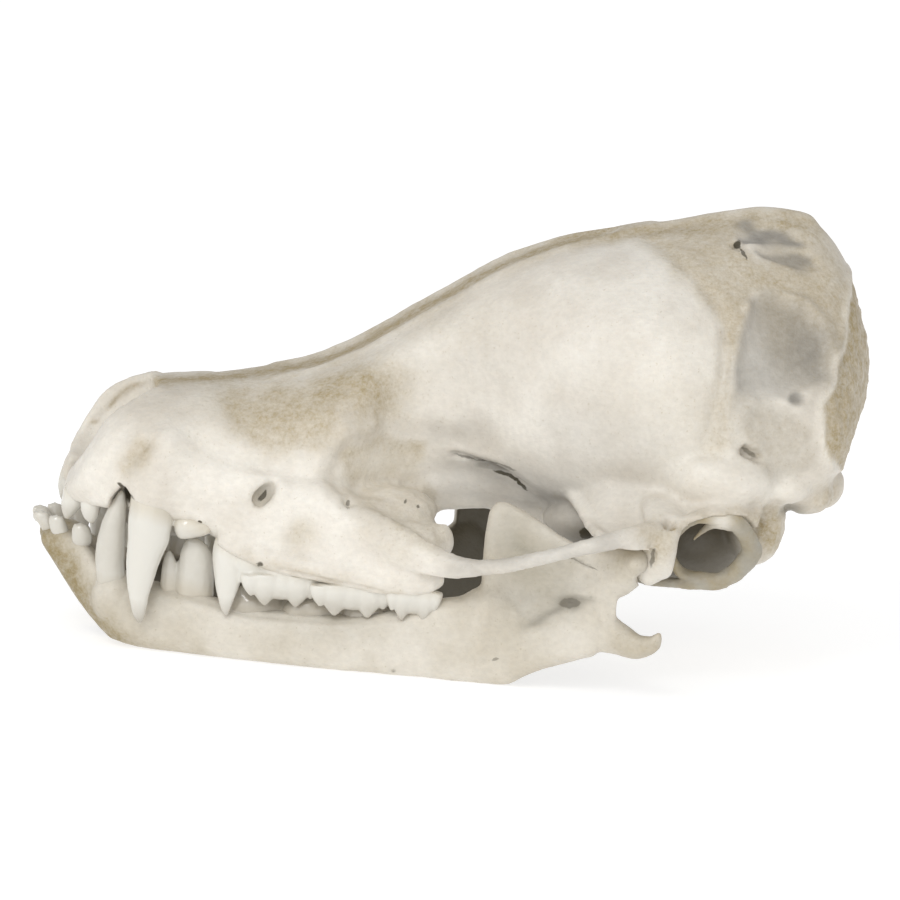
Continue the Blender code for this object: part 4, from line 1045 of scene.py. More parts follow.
# %% Colours of the cranium
SKULL_STAIN = {
    "crown": (1.0, 1.0, [
        (-9.5, 0.0, 9.0), (-6.0, 0.0, 9.2), (-3.0, 0.0, 10.4), (0.5, 0.0, 12.8), (4.5, 0.0, 14.8),
    ]),
    "snout": (0.5, 0.45, SNOUT_PATCH),
    "snout_cloud": (0.34, (3.6, 1.8, 1.4), (-5.6, 3.4, 8.7)),
    "nasal_side": (0.42, (2.8, 1.4, 1.0), (-5.9, 1.7, 8.9)),
    "brow": (0.8, (1.5, 1.4, 1.1), (-2.8, 3.0, 9.6)),
    "forehead": (0.22, (3.0, 1.6, 1.2), (0.8, 2.0, 11.8)),
    "orbit": (0.8, 0.36, ORBIT_PATCH),
    "porous_floor": (0.34, 0.3, POROUS_FLOOR),
    "crest": (0.72, 0.8, [(5.0, 0.6, 14.9), (7.5, 0.8, 15.4), (9.5, 0.9, 15.8), (12.6, 0.6, 15.7)]),
    "helmet": (0.58, 0.4, HELMET),
    "behind_bulge": (0.4, 0.4, [(9.5, 5.2, 12.6), (9.3, 6.0, 11.5), (9.1, 6.2, 9.8), (9.2, 6.2, 8.8)]),
    "rear_field": (0.6, (2.1, 3.6, 3.2), (12.3, 3.2, 13.3), 3),
    "side_rear": (0.25, (2.4, 3.0, 2.4), (8.4, 5.6, 9.6)),
    "occiput": (0.8, 0.22, OCCIPUT),
    "cheek_window": (1.2, (0.2, 0.5, 0.15), (7.56, 7.5, 6.3), 3),
    "ear_side": (0.3, 0.5, EAR_SIDE),
    "mastoid": (0.85, (0.7, 1.8, 1.0), (11.2, 5.2, 5.9)),
    "ear_lip": (0.4, 0.3, [(7.9, 7.3, 6.2), (8.8, 7.1, 6.6), (9.8, 6.9, 6.7), (10.7, 6.4, 6.3)]),
    "behind_cheek_window": (0.3, 0.5, [(6.6, 7.9, 5.9), (7.3, 7.6, 5.7)]),
    "underside": (0.55, (3.2, 3.6, 0.9), (11.3, 2.0, 5.6)),
    "rear_corner": (0.6, (1.0, 2.0, 0.8), (13.3, 3.6, 6.9)),
    "canine_pit": (0.55, 0.36, [(-10.3, 4.1, 7.4), (-10.8, 3.9, 6.6)]),
    "hole_slope": (0.3, (0.4, 0.6, 0.4), (-6.2, 4.6, 5.9)),
    "cheek_hollow": (0.34, (0.5, 0.7, 0.55), (-4.85, 5.1, 4.75)),
    "rim_warmth": (0.22, 0.6, [(-3.6, 4.6, 6.4), (-2.6, 5.4, 5.4), (-1.4, 6.2, 4.7)]),
    "tooth_line": (0.26, 0.22, [(-6.6, 4.9, 3.9), (-4.0, 5.5, 3.4), (-1.5, 5.9, 3.1)]),
    "nose_line": (0.65, 0.09, [
        (-12.0, 2.2, 6.7), (-11.65, 2.2, 7.2), (-11.0, 2.1, 7.95), (-10.3, 1.9, 8.5), (-9.6, 1.4, 8.85),
    ]),
    "nose_strip": (0.22, (1.6, 2.2, 1.6), (-11.2, 0.0, 7.6)),
    "cheek_joint": (0.45, (0.7, 0.8, 0.9), (7.1, 7.6, 5.5)),
    "palate": (0.55, (7.0, 2.4, 1.0), (-6.0, 0.0, 4.6)),
}
# Grey marks: the thin windows and walls, and greyed places beneath the braincase; window_shade and
# brow_shadow are painted shade.
SKULL_GREY_AND_SHADE = {
    "big_window": (0.46, 0.3, WINDOW),
    "window_shade": (0.62, (1.1, 1.2, 1.6), (12.3, 4.8, 12.0)),
    "upper_window": (0.92, 0.2, UPPER_WINDOW),
    "rear_window": (0.72, 0.2, REAR_WINDOW),
    "below_window": (0.3, (0.8, 0.8, 1.2), (10.0, 6.0, 10.9)),
    "side": (0.16, (4.2, 3.0, 4.0), (6.2, 5.6, 10.0)),
    "forehead": (0.14, (2.0, 2.0, 1.5), (1.0, 3.2, 11.0)),
    "low_side": (0.15, 0.9, LOW_SIDE),
    "wall": (0.42, (1.7, 1.5, 0.9), (1.8, 2.4, 6.5)),
    "under_slot": (0.7, (0.9, 0.8, 0.28), (1.8, 2.8, 6.95)),
    "hollow": (0.75, (1.3, 1.2, 0.9), (4.2, 3.0, 6.1)),
    "oval_window": (0.85, (0.32, 0.5, 0.2), (11.79, 5.6, 10.56), 2),
    "ear_side": (0.22, 0.5, EAR_SIDE),
    "arch": (0.42, 0.5, [(0.4, 7.0, 4.3), (2.5, 8.1, 4.9), (4.6, 8.6, 5.5), (5.4, 8.4, 5.7)]),
    "brow_shadow": (0.22, 0.5, [(-0.3, 2.8, 8.3), (1.5, 3.2, 8.6)]),
}
# Painted shade: the nose, throat, palate, the room under the braincase, round the ear, the jaw joint and the
# brain's room are darkened where shade falls.
SKULL_PAINTED_SHADE = {
    "nerve_hole_floor": (0.35, (0.4, 0.5, 0.4), (-6.16, 4.3, 6.04)),
    "nose_depth": (0.9, (1.8, 1.4, 1.2), (-9.6, 0.0, 7.0), 2),
    "throat": (0.85, (3.2, 1.5, 0.7), (0.8, 0.0, 4.8), 2),
    "palate": (0.8, (6.5, 2.9, 0.9), (-6.0, 0.0, 4.2), 2),
    "sphenoid": (0.92, (1.5, 2.6, 0.9), (5.7, 2.6, 5.0), 2),
    "ear_room": (0.9, (2.0, 1.5, 2.1), (9.0, 4.1, 4.9), 3),
    "rear_floor": (0.75, (1.0, 1.4, 0.4), (11.9, 3.6, 6.5), 2),
    "joint_shadow": (0.75, (0.6, 0.5, 1.0), (6.85, 5.7, 4.9), 2),
    "brain_room": (0.8, (5.2, 4.6, 3.6), (8.2, 0.0, 9.9), 6),
}
# Painted light: the eye hollow, a gleam on the braincase's side, and the rims and bulges that face the light
# are painted paler.
SKULL_PAINTED_LIGHT = {
    "orbit": (0.8, (1.7, 1.6, 0.8), (-1.9, 3.6, 6.9)),
    "side_gleam": (0.3, (2.2, 1.5, 2.0), (6.6, 6.0, 11.0)),
    "bulge_rim": (0.4, 0.14, [(6.5, 1.4, 15.0), (7.4, 3.3, 14.5), (8.5, 4.6, 13.6), (8.9, 5.3, 12.7)]),
    "nape_crest": (0.45, 0.11, OCCIPUT, "rim"),
    "rear_bulge": (0.45, (0.8, 0.6, 0.35), (11.4, 5.8, 7.4)),
    "squamosal": (0.3, (1.2, 1.2, 1.0), (9.0, 6.4, 7.9)),
    "root_front": (0.4, 0.18, [(3.76, 3.3, 6.86), (4.31, 3.9, 6.58), (4.66, 4.6, 6.26), (4.9, 5.5, 5.96)]),
}
spots = both_sides(kept_places(skull))
uneven = waver(spots, 0.16, (1.7, 1.3, 1.5))
paint(skull, stain=cover(uneven, SKULL_STAIN), thin=cover(uneven, SKULL_GREY_AND_SHADE),
      deep=cover(spots, SKULL_PAINTED_SHADE), pale=cover(uneven, SKULL_PAINTED_LIGHT))
finish(skull, SKULL_BONE, "dry_bone", "cranium")

# %% [markdown]
# ## The lower jaw
#
# Each half is a slim bar with an upright blade behind the teeth, a small joint head and a hook. The blade is
# so thin that it looks grey in its middle, and thick only along its front edge and lower border.

# %% Lower jaw
# The bar and the blade in rows as in MAXILLA, the neck of the joint and the hook in rows as in ARCH.
JAW = np.array([
    (-13.56, 0.58, 0.34, 3.15, 3.50),
    (-13.06, 0.80, 0.60, 2.45, 3.70),
    (-12.34, 1.06, 0.88, 1.50, 3.60),
    (-11.64, 1.42, 1.20, 0.68, 3.00),
    (-10.86, 1.90, 1.30, 0.12, 2.40),
    (-9.80, 2.55, 1.05, 0.00, 2.35),
    (-8.50, 3.10, 0.82, 0.00, 2.25),
    (-6.40, 3.82, 0.74, 0.00, 1.85),
    (-3.60, 4.50, 0.70, 0.00, 1.90),
    (-0.80, 5.05, 0.66, 0.00, 2.45),
    (0.10, 5.25, 0.62, 0.00, 2.80),
    (0.80, 5.40, 0.60, 0.00, 2.95),
    (1.30, 5.52, 0.56, 0.00, 3.30),
    (2.00, 5.70, 0.50, 0.00, 3.65),
    (2.45, 5.80, 0.46, 0.02, 3.30),
    (3.20, 5.98, 0.42, 0.46, 2.60),
    (4.60, 6.35, 0.42, 1.12, 2.60),
    (5.40, 6.60, 0.40, 1.42, 2.60),
])
RAMUS = np.array([
    (1.45, 5.58, 0.28, 1.00, 5.10),
    (1.60, 5.60, 0.30, 0.60, 6.05),
    (1.95, 5.68, 0.28, 0.50, 6.40),
    (2.40, 5.80, 0.26, 0.60, 6.28),
    (3.20, 6.00, 0.26, 0.85, 5.88),
    (4.20, 6.30, 0.26, 1.30, 5.33),
    (4.90, 6.52, 0.27, 1.60, 5.08),
    (5.60, 6.75, 0.28, 1.90, 5.00),
    (6.00, 6.88, 0.26, 2.60, 4.95),
])
CONDYLE = ((6.50, 6.98, 4.86), (0.52, 0.80, 0.52))
CONDYLE_NECK = np.array([
    (5.10, 6.62, 4.25, 0.26, 0.80),
    (5.80, 6.95, 4.40, 0.40, 0.92),
    (6.44, 7.05, 4.66, 0.52, 0.72),
])
CANINE_SOCKET = ((-11.00, 2.50, 1.75), (0.80, 0.72, 1.00))
HOOK = np.array([
    (4.60, 6.35, 2.10, 0.38, 0.80),
    (5.50, 6.60, 2.25, 0.38, 0.78),
    (6.10, 6.90, 2.10, 0.38, 0.60),
    (6.80, 7.30, 1.90, 0.36, 0.42),
    (7.25, 7.60, 2.08, 0.28, 0.32),
    (7.50, 7.80, 2.50, 0.10, 0.12),
])
JAW_GRAIN = 0.1
CHIN_END = -12.2
JAW_RELIEF = {
    "front_edge": (0.09, 0.28, [
        (1.85, 5.85, 5.9), (1.75, 5.85, 5.0), (1.7, 5.95, 3.6), (1.6, 6.05, 2.3), (1.45, 6.05, 1.1),
    ]),
    "muscle_hollow": (-0.14, (1.5, 1.2, 1.3), (3.6, 6.3, 3.0)),
    "smudge_hollow": (-0.14, 0.25, [(3.0, 6.2, 2.2), (4.5, 6.6, 3.15)]),
    "blade_ridge": (0.08, 0.18, [(2.3, 6.0, 4.9), (3.4, 6.3, 4.2), (5.0, 6.8, 4.0)]),
    "smudge_ridge": (0.07, 0.14, [(2.6, 6.2, 2.6), (3.8, 6.5, 3.45), (4.9, 6.8, 3.6)]),
    "lower_border": (0.1, 0.32, [(2.5, 6.1, 0.6), (3.8, 6.3, 1.1), (5.2, 6.8, 1.6)]),
    "hook_edge": (0.1, 0.25, [(5.4, 7.0, 3.4), (5.6, 7.0, 2.8), (6.1, 7.2, 2.3), (6.9, 7.5, 2.0)]),
    "root_front": (0.1, 0.3, (-8.55, 3.9, 1.85)),
    "root_rear": (0.1, 0.3, (-8.0, 4.0, 1.75)),
    "canine_root": (0.16, 0.55, [(-11.0, 3.0, 1.9), (-10.6, 3.0, 1.1)]),
    "gum_line": (-0.07, 0.12, [(-9.5, 3.4, 2.35), (-6.4, 4.4, 1.75), (-3.6, 5.1, 1.8), (-1.2, 5.6, 2.15)]),
}
JAW_STAIN = {
    "chin": (1.0, 1.0, [(-13.2, 0.8, 3.0), (-12.5, 1.3, 2.1), (-11.8, 1.8, 1.2), (-11.0, 2.4, 0.5)], 1.5),
    "chin_line": (0.5, 0.1, [(-13.1, 1.0, 3.3), (-12.6, 1.5, 2.5), (-12.0, 1.9, 1.9)]),
    "chin_line_front": (0.45, 0.08, [(-13.2, 0.9, 2.9), (-12.7, 1.3, 2.2), (-12.1, 1.7, 1.5)]),
    "lower_front": (0.35, 0.6, [(-10.5, 3.0, 0.3), (-8.0, 3.6, 0.2)]),
    "body_cloud": (0.22, (1.8, 0.8, 0.6), (-5.6, 4.6, 0.9)),
    "hook": (0.4, 0.5, [(6.3, 7.1, 2.0), (7.4, 7.7, 2.2)]),
    "blade": (0.16, (2.0, 1.0, 1.6), (3.8, 6.3, 3.8)),
    "joint": (0.4, (0.8, 1.0, 0.7), (6.3, 7.2, 4.8)),
}
JAW_THIN = {
    "blade": (0.34, (1.6, 1.2, 1.8), (3.4, 6.2, 3.8), 2),
    "blade_smear": (0.55, (0.45, 0.6, 0.18), (2.66, 6.0, 5.0)),
    "tip": (0.35, 0.9, (2.4, 6.0, 5.3)),
    "under_teeth": (0.2, (1.3, 1.0, 0.7), (-9.6, 3.4, 1.9)),
    "middle": (0.18, (2.4, 1.0, 0.5), (-3.5, 5.2, 1.6)),
}
# Dark smudges, a streak and cracks in the bone, and a painted shade along the line where the joint head meets
# the skull.
JAW_SMUDGES_AND_SHADE = {
    "smudge": (0.8, (0.42, 0.6, 0.22), (4.42, 6.6, 3.14)),
    "smudge_tail": (0.4, (0.5, 0.6, 0.13), (4.85, 6.7, 3.36)),
    "streak": (0.42, 0.13, [(3.0, 6.2, 2.16), (3.66, 6.4, 2.62), (4.1, 6.5, 2.9)]),
    "crack": (0.45, 0.05, [(4.21, 6.5, 4.83), (4.95, 6.8, 4.53), (5.26, 6.9, 4.46)]),
    "joint_line": (0.45, 0.16, [(6.95, 7.4, 5.3), (7.0, 7.3, 4.8), (6.8, 7.2, 4.4)]),
    "border_crack": (0.8, 0.05, [(-1.37, 5.4, 0.35), (-1.37, 5.5, -0.1)]),
    "border_crack_rear": (0.8, 0.05, [(0.63, 5.6, 0.3), (0.63, 5.6, -0.1)]),
}


def jaw(word, side):
    """One half: bar, blade, joint head and hook knitted to one skin and relaxed."""
    shapes = [
        beam(JAW, 2.8, 90, 40, side), beam(RAMUS, 5.0, 50, 48, side), mound(*CONDYLE, side),
        mound(*CANINE_SOCKET, side),
        tube(CONDYLE_NECK, 20, 20, side), tube(HOOK, 40, 24, side),
    ]
    thing = join(f"lower_jaw_bone_{word}", shapes)
    knit(thing, JAW_GRAIN)
    relax(thing, 10)
    spots = both_sides(places(thing))
    raise_by(thing, JAW_RELIEF, 0.015, 1.8)
    uneven = waver(spots, 0.14, (1.5, 1.2, 1.4))
    # The inner side, but for the chin, is painted dark as the shade between the halves.
    inner_side_shade = np.clip(-1.8 * side * normals(thing)[:, 1] - 0.35, 0, 1) * (spots[:, 0] > CHIN_END)
    paint(thing, stain=cover(uneven, JAW_STAIN), thin=cover(uneven, JAW_THIN),
          deep=np.maximum(cover(spots, JAW_SMUDGES_AND_SHADE), 0.95 * inner_side_shade), pale=0.0)
    finish(thing, JAW_BONE, "jaw_bone", f"lower_jaw_{word}")


for word, side in SIDES.items():
    jaw(word, side)

# %% [markdown]
# ## The teeth
#
# A bat that eats insects and birds has tall canines and molars with sharp, W-shaped edges. Each crown is an
# upright loft, and the crowns of one row are knitted with a fine grain, so that cusps run into each other as
# enamel does. Enamel is a piece of its own, because it shines where bone is matt.

# %% Crowns with one point
# Rows of (z, x, y, half length, half width), from the root to the tip or the other way.
UPPER_CROWNS = {
    "incisor_inner": [
        (5.95, -12.36, 1.75, 0.14, 0.18), (5.7, -12.42, 1.75, 0.3, 0.3), (5.25, -12.52, 1.72, 0.41, 0.38),
        (4.8, -12.6, 1.62, 0.39, 0.36), (4.45, -12.67, 1.52, 0.26, 0.26), (4.16, -12.73, 1.45, 0.08, 0.08),
    ],
    "incisor_outer": [
        (5.6, -11.94, 2.1, 0.24, 0.24), (5.05, -11.97, 2.22, 0.36, 0.31), (4.7, -11.98, 2.27, 0.34, 0.28),
        (4.38, -11.95, 2.3, 0.24, 0.2), (4.2, -11.9, 2.3, 0.08, 0.08),
    ],
    "canine": [
        (6.3, -9.95, 3.72, 0.6, 0.48), (5.4, -9.98, 3.82, 0.72, 0.58), (4.8, -9.98, 3.88, 0.76, 0.61),
        (4.15, -9.99, 3.94, 0.73, 0.57), (3.6, -10.09, 3.99, 0.64, 0.5), (3.13, -10.17, 4.02, 0.55, 0.44),
        (2.6, -10.21, 4.06, 0.45, 0.37), (2.1, -10.22, 4.08, 0.35, 0.31), (1.7, -10.19, 4.1, 0.27, 0.25),
        (1.4, -10.15, 4.1, 0.19, 0.18), (1.22, -10.12, 4.1, 0.1, 0.1), (1.15, -10.11, 4.1, 0.03, 0.03),
    ],
    "premolar_small": [
        (4.95, -8.5, 3.84, 0.52, 0.24), (4.7, -8.48, 3.93, 0.66, 0.3), (4.5, -8.5, 3.96, 0.64, 0.31),
        (4.34, -8.56, 3.96, 0.52, 0.26), (4.2, -8.78, 3.96, 0.22, 0.15),
    ],
    "premolar_large": [
        (4.55, -7.1, 3.95, 0.4, 0.3), (4.15, -7.12, 4.05, 0.62, 0.4), (3.8, -7.12, 4.16, 0.66, 0.43),
        (3.4, -7.15, 4.28, 0.6, 0.41), (3.0, -7.18, 4.36, 0.5, 0.37), (2.4, -7.22, 4.42, 0.33, 0.27),
        (1.95, -7.22, 4.44, 0.19, 0.17), (1.7, -7.2, 4.44, 0.09, 0.09), (1.62, -7.19, 4.44, 0.03, 0.03),
    ],
    "premolar_blade": [
        (4.0, -6.5, 4.3, 0.5, 0.34), (3.6, -6.44, 4.44, 0.6, 0.34), (3.25, -6.42, 4.52, 0.48, 0.26),
        (2.98, -6.4, 4.56, 0.26, 0.16), (2.85, -6.38, 4.58, 0.08, 0.08),
    ],
}
LOWER_CROWNS = {
    "incisor_first": [
        (3.3, -13.12, 0.52, 0.22, 0.2), (3.65, -13.31, 0.52, 0.32, 0.25), (3.98, -13.53, 0.52, 0.3, 0.2),
        (4.16, -13.61, 0.52, 0.24, 0.12),
    ],
    "incisor_second": [
        (3.3, -12.82, 1.08, 0.22, 0.2), (3.65, -12.94, 1.08, 0.32, 0.25), (3.95, -13.04, 1.08, 0.3, 0.2),
        (4.14, -13.09, 1.08, 0.24, 0.12),
    ],
    "incisor_third": [
        (3.2, -12.16, 1.56, 0.22, 0.22), (3.5, -12.18, 1.62, 0.36, 0.27), (3.8, -12.22, 1.66, 0.34, 0.22),
        (4.02, -12.24, 1.66, 0.26, 0.13),
    ],
    "canine": [
        (1.4, -11.1, 2.55, 0.4, 0.38), (2.05, -11.12, 2.62, 0.48, 0.45), (2.5, -11.16, 2.66, 0.52, 0.48),
        (3.3, -11.22, 2.73, 0.52, 0.47), (4.0, -11.2, 2.8, 0.47, 0.42), (4.8, -11.1, 2.88, 0.34, 0.31),
        (5.25, -11.02, 2.95, 0.21, 0.19), (5.5, -10.98, 3.0, 0.1, 0.1), (5.58, -10.97, 3.0, 0.03, 0.03),
    ],
    "premolar_small": [
        (1.9, -9.12, 3.08, 0.22, 0.24), (2.4, -9.12, 3.14, 0.33, 0.31), (2.95, -9.15, 3.17, 0.28, 0.27),
        (3.35, -9.18, 3.2, 0.17, 0.17), (3.58, -9.2, 3.2, 0.04, 0.04),
    ],
    "premolar_large": [
        (1.75, -8.22, 3.15, 0.5, 0.36), (2.15, -8.25, 3.22, 0.68, 0.5), (2.8, -8.26, 3.3, 0.65, 0.45),
        (3.4, -8.27, 3.35, 0.58, 0.36), (3.8, -8.32, 3.38, 0.44, 0.27), (4.04, -8.4, 3.4, 0.26, 0.17),
        (4.14, -8.44, 3.4, 0.1, 0.08),
    ],
}

# %% Molars
# Each is (middle x, outer y, length, rim z, tip z).
UPPER_MOLARS = [
    (-5.37, 5.12, 2.30, 3.60, 2.10),
    (-2.95, 5.65, 2.40, 3.46, 1.97),
    (-0.85, 5.98, 1.60, 3.46, 2.00),
]
LOWER_MOLARS = [
    (-6.15, 3.72, 2.05, 1.45, 2.72),
    (-4.15, 4.14, 2.10, 1.45, 2.66),
    (-2.20, 4.48, 1.95, 1.50, 2.64),
]


def cusp(x, y, z_root, z_tip, long, wide, side):
    """A blunt cone whose radius falls as 1 - t^2.2 from root to tip, with level rings."""
    t = np.linspace(0, 1, 12)
    fall = 0.95 * (1 - t**2.2) + 0.05
    z = z_root + (z_tip - z_root) * t
    table = np.stack([z, 0 * t + x, 0 * t + y, long * fall, wide * fall], axis=1)
    if z_tip < z_root:
        table = table[::-1]
    return column(table, 24, 24, side)


def upper_molar(middle, outer, length, rim, tip, side):
    """A low crown with a row of rounded points along its cheek side, and a broad inner point."""
    shapes = [mound((middle, outer - 0.95, rim - 0.22), (length * 0.47, 0.85, 0.48), side)]
    shapes.append(mound((middle, outer - 0.48, tip + 0.8), (length * 0.5, 0.36, 0.54), side))
    for share in (-0.235, 0.235):
        x = middle + share * length
        shapes.append(cusp(x, outer - 0.4, tip + 1.15, tip, 0.25 * length, 0.34, side))
    for share in (-0.45, 0.0, 0.45):
        x = middle + share * length
        shapes.append(cusp(x, outer - 0.38, tip + 1.1, tip + 0.32, 0.17 * length, 0.3, side))
    x = middle - 0.05 * length
    return shapes + [cusp(x, outer - 1.45, rim + 0.3, rim - 0.7, 0.3 * length, 0.38, side)]


def lower_molar(middle, outer, length, rim, tip, side):
    """A low crown with two tall outer points and three lower inner ones."""
    shapes = [mound((middle, outer, rim + 0.4), (length * 0.51, 0.56, 0.66), side)]
    for share, drop in ((-0.22, 0.0), (0.25, 0.12)):
        x = middle + share * length
        shapes.append(cusp(x, outer + 0.14, rim, tip - drop, 0.27 * length, 0.34, side))
    for share in (-0.38, -0.05, 0.36):
        x = middle + share * length
        shapes.append(cusp(x, outer - 0.3, rim, tip - 0.2, 0.18 * length, 0.24, side))
    return shapes


def incisor_lobes(rows, side):
    """The three small lobes along the cutting edge of a lower front tooth."""
    z, x, y = rows[-1][:3]
    lobes = []
    for place in (-1, 0, 1):
        centre = (x + 0.16 * place, y + 0.05 * place, z - 0.10 - 0.05 * abs(place))
        lobes.append(mound(centre, (0.11, 0.13, 0.18), side))
    return lobes


# %% Rows of teeth
# The lines of the tips and of the gum on the side view, as (x, z).
UPPER_TIPS = np.array([
    (-12.7, 4.1), (-11.8, 4.1), (-10.9, 4.0), (-10.6, 1.3), (-9.4, 1.3), (-9.3, 3.9), (-8.1, 3.9),
    (-7.9, 1.6), (-6.9, 1.6), (-6.6, 2.2), (0.0, 2.1),
])
LOWER_TIPS = np.array([
    (-13.5, 4.2), (-12.0, 4.0), (-11.6, 5.6), (-10.5, 5.6), (-9.6, 3.7), (-8.8, 3.9), (-8.3, 4.2),
    (-7.6, 3.4), (-7.0, 2.65), (-1.4, 2.6),
])
UPPER_NECKS = np.array([
    (-12.9, 5.4), (-10.4, 5.3), (-8.6, 4.8), (-7.4, 4.2), (-6.1, 3.7), (-4.0, 3.4), (0.0, 3.3),
])
LOWER_NECKS = np.array([(-13.5, 3.4), (-11.4, 2.1), (-9.1, 2.4), (-6.3, 1.85), (-3.6, 1.9), (-0.2, 2.4)])
TOOTH_GRAIN = 0.06


def tooth_row(name, shapes, tips, necks, up, node_name, slot):
    """Crowns knitted to one fine skin, coloured by how near each point is to the tips and to the gum."""
    thing = join(name, shapes)
    knit(thing, TOOTH_GRAIN)
    relax(thing, 3)
    points = places(thing)
    raise_by(thing, {}, 0.012, 0.9)
    from_tip = up * (np.interp(points[:, 0], tips[:, 0], tips[:, 1]) - points[:, 2])
    from_neck = up * (points[:, 2] - np.interp(points[:, 0], necks[:, 0], necks[:, 1]))
    tip = 0.8 * (1 - from_tip / 0.75)
    if up > 0:
        # The lower teeth are painted a little greyer all over, and more so from the molars back, as shade.
        tip = 0.35 * np.maximum(tip, 1) + 0.6 * np.clip((points[:, 0] + 7.4) / 0.6, 0, 1)
    paint(thing, tip=tip, gum=1 - from_neck / 0.5)
    finish(thing, ENAMEL, slot, node_name)


for word, side in SIDES.items():
    shapes = [column(np.array(rows)[::-1], 48, 36, side) for rows in UPPER_CROWNS.values()]
    for row in UPPER_MOLARS:
        shapes += upper_molar(*row, side)
    tooth_row(f"upper_teeth_{word}", shapes, UPPER_TIPS, UPPER_NECKS, -1, "cranium", "dry_bone")
    shapes = [column(np.array(rows), 48, 36, side) for rows in LOWER_CROWNS.values()]
    for tooth in ("incisor_first", "incisor_second", "incisor_third"):
        shapes += incisor_lobes(LOWER_CROWNS[tooth], side)
    for row in LOWER_MOLARS:
        shapes += lower_molar(*row, side)
    tooth_row(f"lower_teeth_{word}", shapes, LOWER_TIPS, LOWER_NECKS, 1, f"lower_jaw_{word}", "jaw_bone")

# %% [markdown]
# ## The ear
#
# The eardrum was stretched in an open ring of bone, broad behind and thin above. A ring is a closed tube
# whose section changes round it, so it is a surface of two angles. Inside sits the hammer, the first of the
# little bones that carried sound.

# %% Ear ring
RING_CENTRE = np.array((9.06, 6.32, 5.27))
RING_LEAN = math.radians(24)
RING_STEPS, RING_AROUND, RING_GRAIN = 96, 28, 0.055
# Angle from the rear over the top, inner radius, and width of the band there.
RING_BAND = np.array([
    (0, 1.14, 0.74), (45, 1.12, 0.6), (90, 1.12, 0.34), (135, 1.16, 0.4), (180, 1.16, 0.46),
    (225, 1.12, 0.34), (270, 1.1, 0.42), (315, 1.12, 0.66), (360, 1.14, 0.74),
])
# The lower bar of the ring and the hammer bone, as (x, y, z, half thickness, half height).
RING_BAR = np.array([
    (9.90, 5.80, 4.02, 0.20, 0.20),
    (9.20, 5.75, 3.88, 0.24, 0.20),
    (8.20, 5.70, 3.88, 0.24, 0.18),
    (7.40, 5.68, 3.90, 0.24, 0.17),
    (6.75, 5.60, 4.00, 0.18, 0.13),
])
HAMMER = np.array([
    (8.55, 6.35, 5.55, 0.05, 0.05),
    (8.95, 6.45, 6.00, 0.10, 0.10),
    (9.35, 6.70, 6.30, 0.26, 0.26),
    (9.75, 6.75, 6.28, 0.28, 0.26),
    (10.00, 6.70, 6.20, 0.14, 0.14),
])
RING_THIN = {"rear": (0.25, 0.8, (10.3, 6.6, 5.0))}
RING_PALE = {"hammer": (0.9, 0.42, (9.4, 6.8, 6.42))}


def ear_ring(word, side):
    """A tube round a circle: at each angle the section is an ellipse as wide as the band b, which reaches
    0.2 + 0.16 b to the front and the rear. Six shallow waves run round its inner edge."""
    turn = np.linspace(0, 360, RING_STEPS, endpoint=False)
    inner, band = (curve_through(RING_BAND[:, 0], RING_BAND[:, c], turn) for c in (1, 2))
    inner = inner * (1 + 0.035 * np.cos(np.radians(6 * turn + 20)))
    turn = np.radians(turn)[:, None]
    around = 2 * np.pi * np.arange(RING_AROUND)[None, :] / RING_AROUND
    radius = (inner + band / 2)[:, None] + (band / 2)[:, None] * np.cos(around)
    depth = (0.20 + 0.16 * band)[:, None] * np.sin(around)
    x, y, z = radius * np.cos(turn), depth + 0 * turn, radius * np.sin(turn)
    cos, sin = math.cos(RING_LEAN), math.sin(RING_LEAN)
    points = np.stack([x, side * (RING_CENTRE[1] + y * cos + z * sin), z * cos - y * sin], axis=2)
    points += (RING_CENTRE[0], 0, RING_CENTRE[2])
    i, j = np.meshgrid(np.arange(RING_STEPS), np.arange(RING_AROUND), indexing="ij")
    k = (j + 1) % RING_AROUND
    here, ahead = i * RING_AROUND, (i + 1) % RING_STEPS * RING_AROUND
    quads = np.stack([here + j, here + k, ahead + k, ahead + j], axis=-1).reshape(-1, 4)
    ring = outward(points.reshape(-1, 3), quads, np.empty((0, 3), dtype=int))
    bar, hammer = tube(RING_BAR, 30, 20, side), tube(HAMMER, 30, 18, side)
    thing = join(f"ear_ring_bone_{word}", [ring, bar, hammer])
    knit(thing, RING_GRAIN)
    relax(thing, 5)
    raise_by(thing, {}, 0.02, 0.9)
    spots = both_sides(places(thing))
    paint(thing, stain=0.35 + 0.35 * ripple(spots, 1.1), thin=total(spots, RING_THIN),
          deep=0.0, pale=total(spots, RING_PALE))
    finish(thing, RING_BONE, "ring_bone", f"ear_ring_{word}")


for word, side in SIDES.items():
    ear_ring(word, side)

# %% [markdown]
# ## Floor, light and camera
#
# The skull stands on a white table under large soft lamps. The camera looks at its left side from a little
# above, with a long lens, because a small thing photographed from close by needs one to keep its shape.

# %% Floor
def sheet_of_paper(name, half, z):
    """A flat square that faces up."""
    mesh = bpy.data.meshes.new(name)
    corners = [(x * half, y * half, z) for x, y in ((-1, -1), (1, -1), (1, 1), (-1, 1))]
    mesh.from_pydata(corners, [], [(0, 1, 2, 3)])
    thing = bpy.data.objects.new(name, mesh)
    bpy.context.scene.collection.objects.link(thing)
    return thing


# The paper lies 0.02 mm below z = 0, just clear of the jaw, so that no two faces fall in one plane.
PAPER_HALF, PAPER_TOP = 3.0, -0.02 * MM
floor = sheet_of_paper("table_top", PAPER_HALF, PAPER_TOP)
paper = bpy.data.materials.new("white_table_paper_matt")
paper.use_nodes = True
paper_shader = paper.node_tree.nodes["Principled BSDF"]
paper_shader.inputs["Base Color"].default_value = colour("#b4b4b4")
paper_shader.inputs["Roughness"].default_value = 0.9
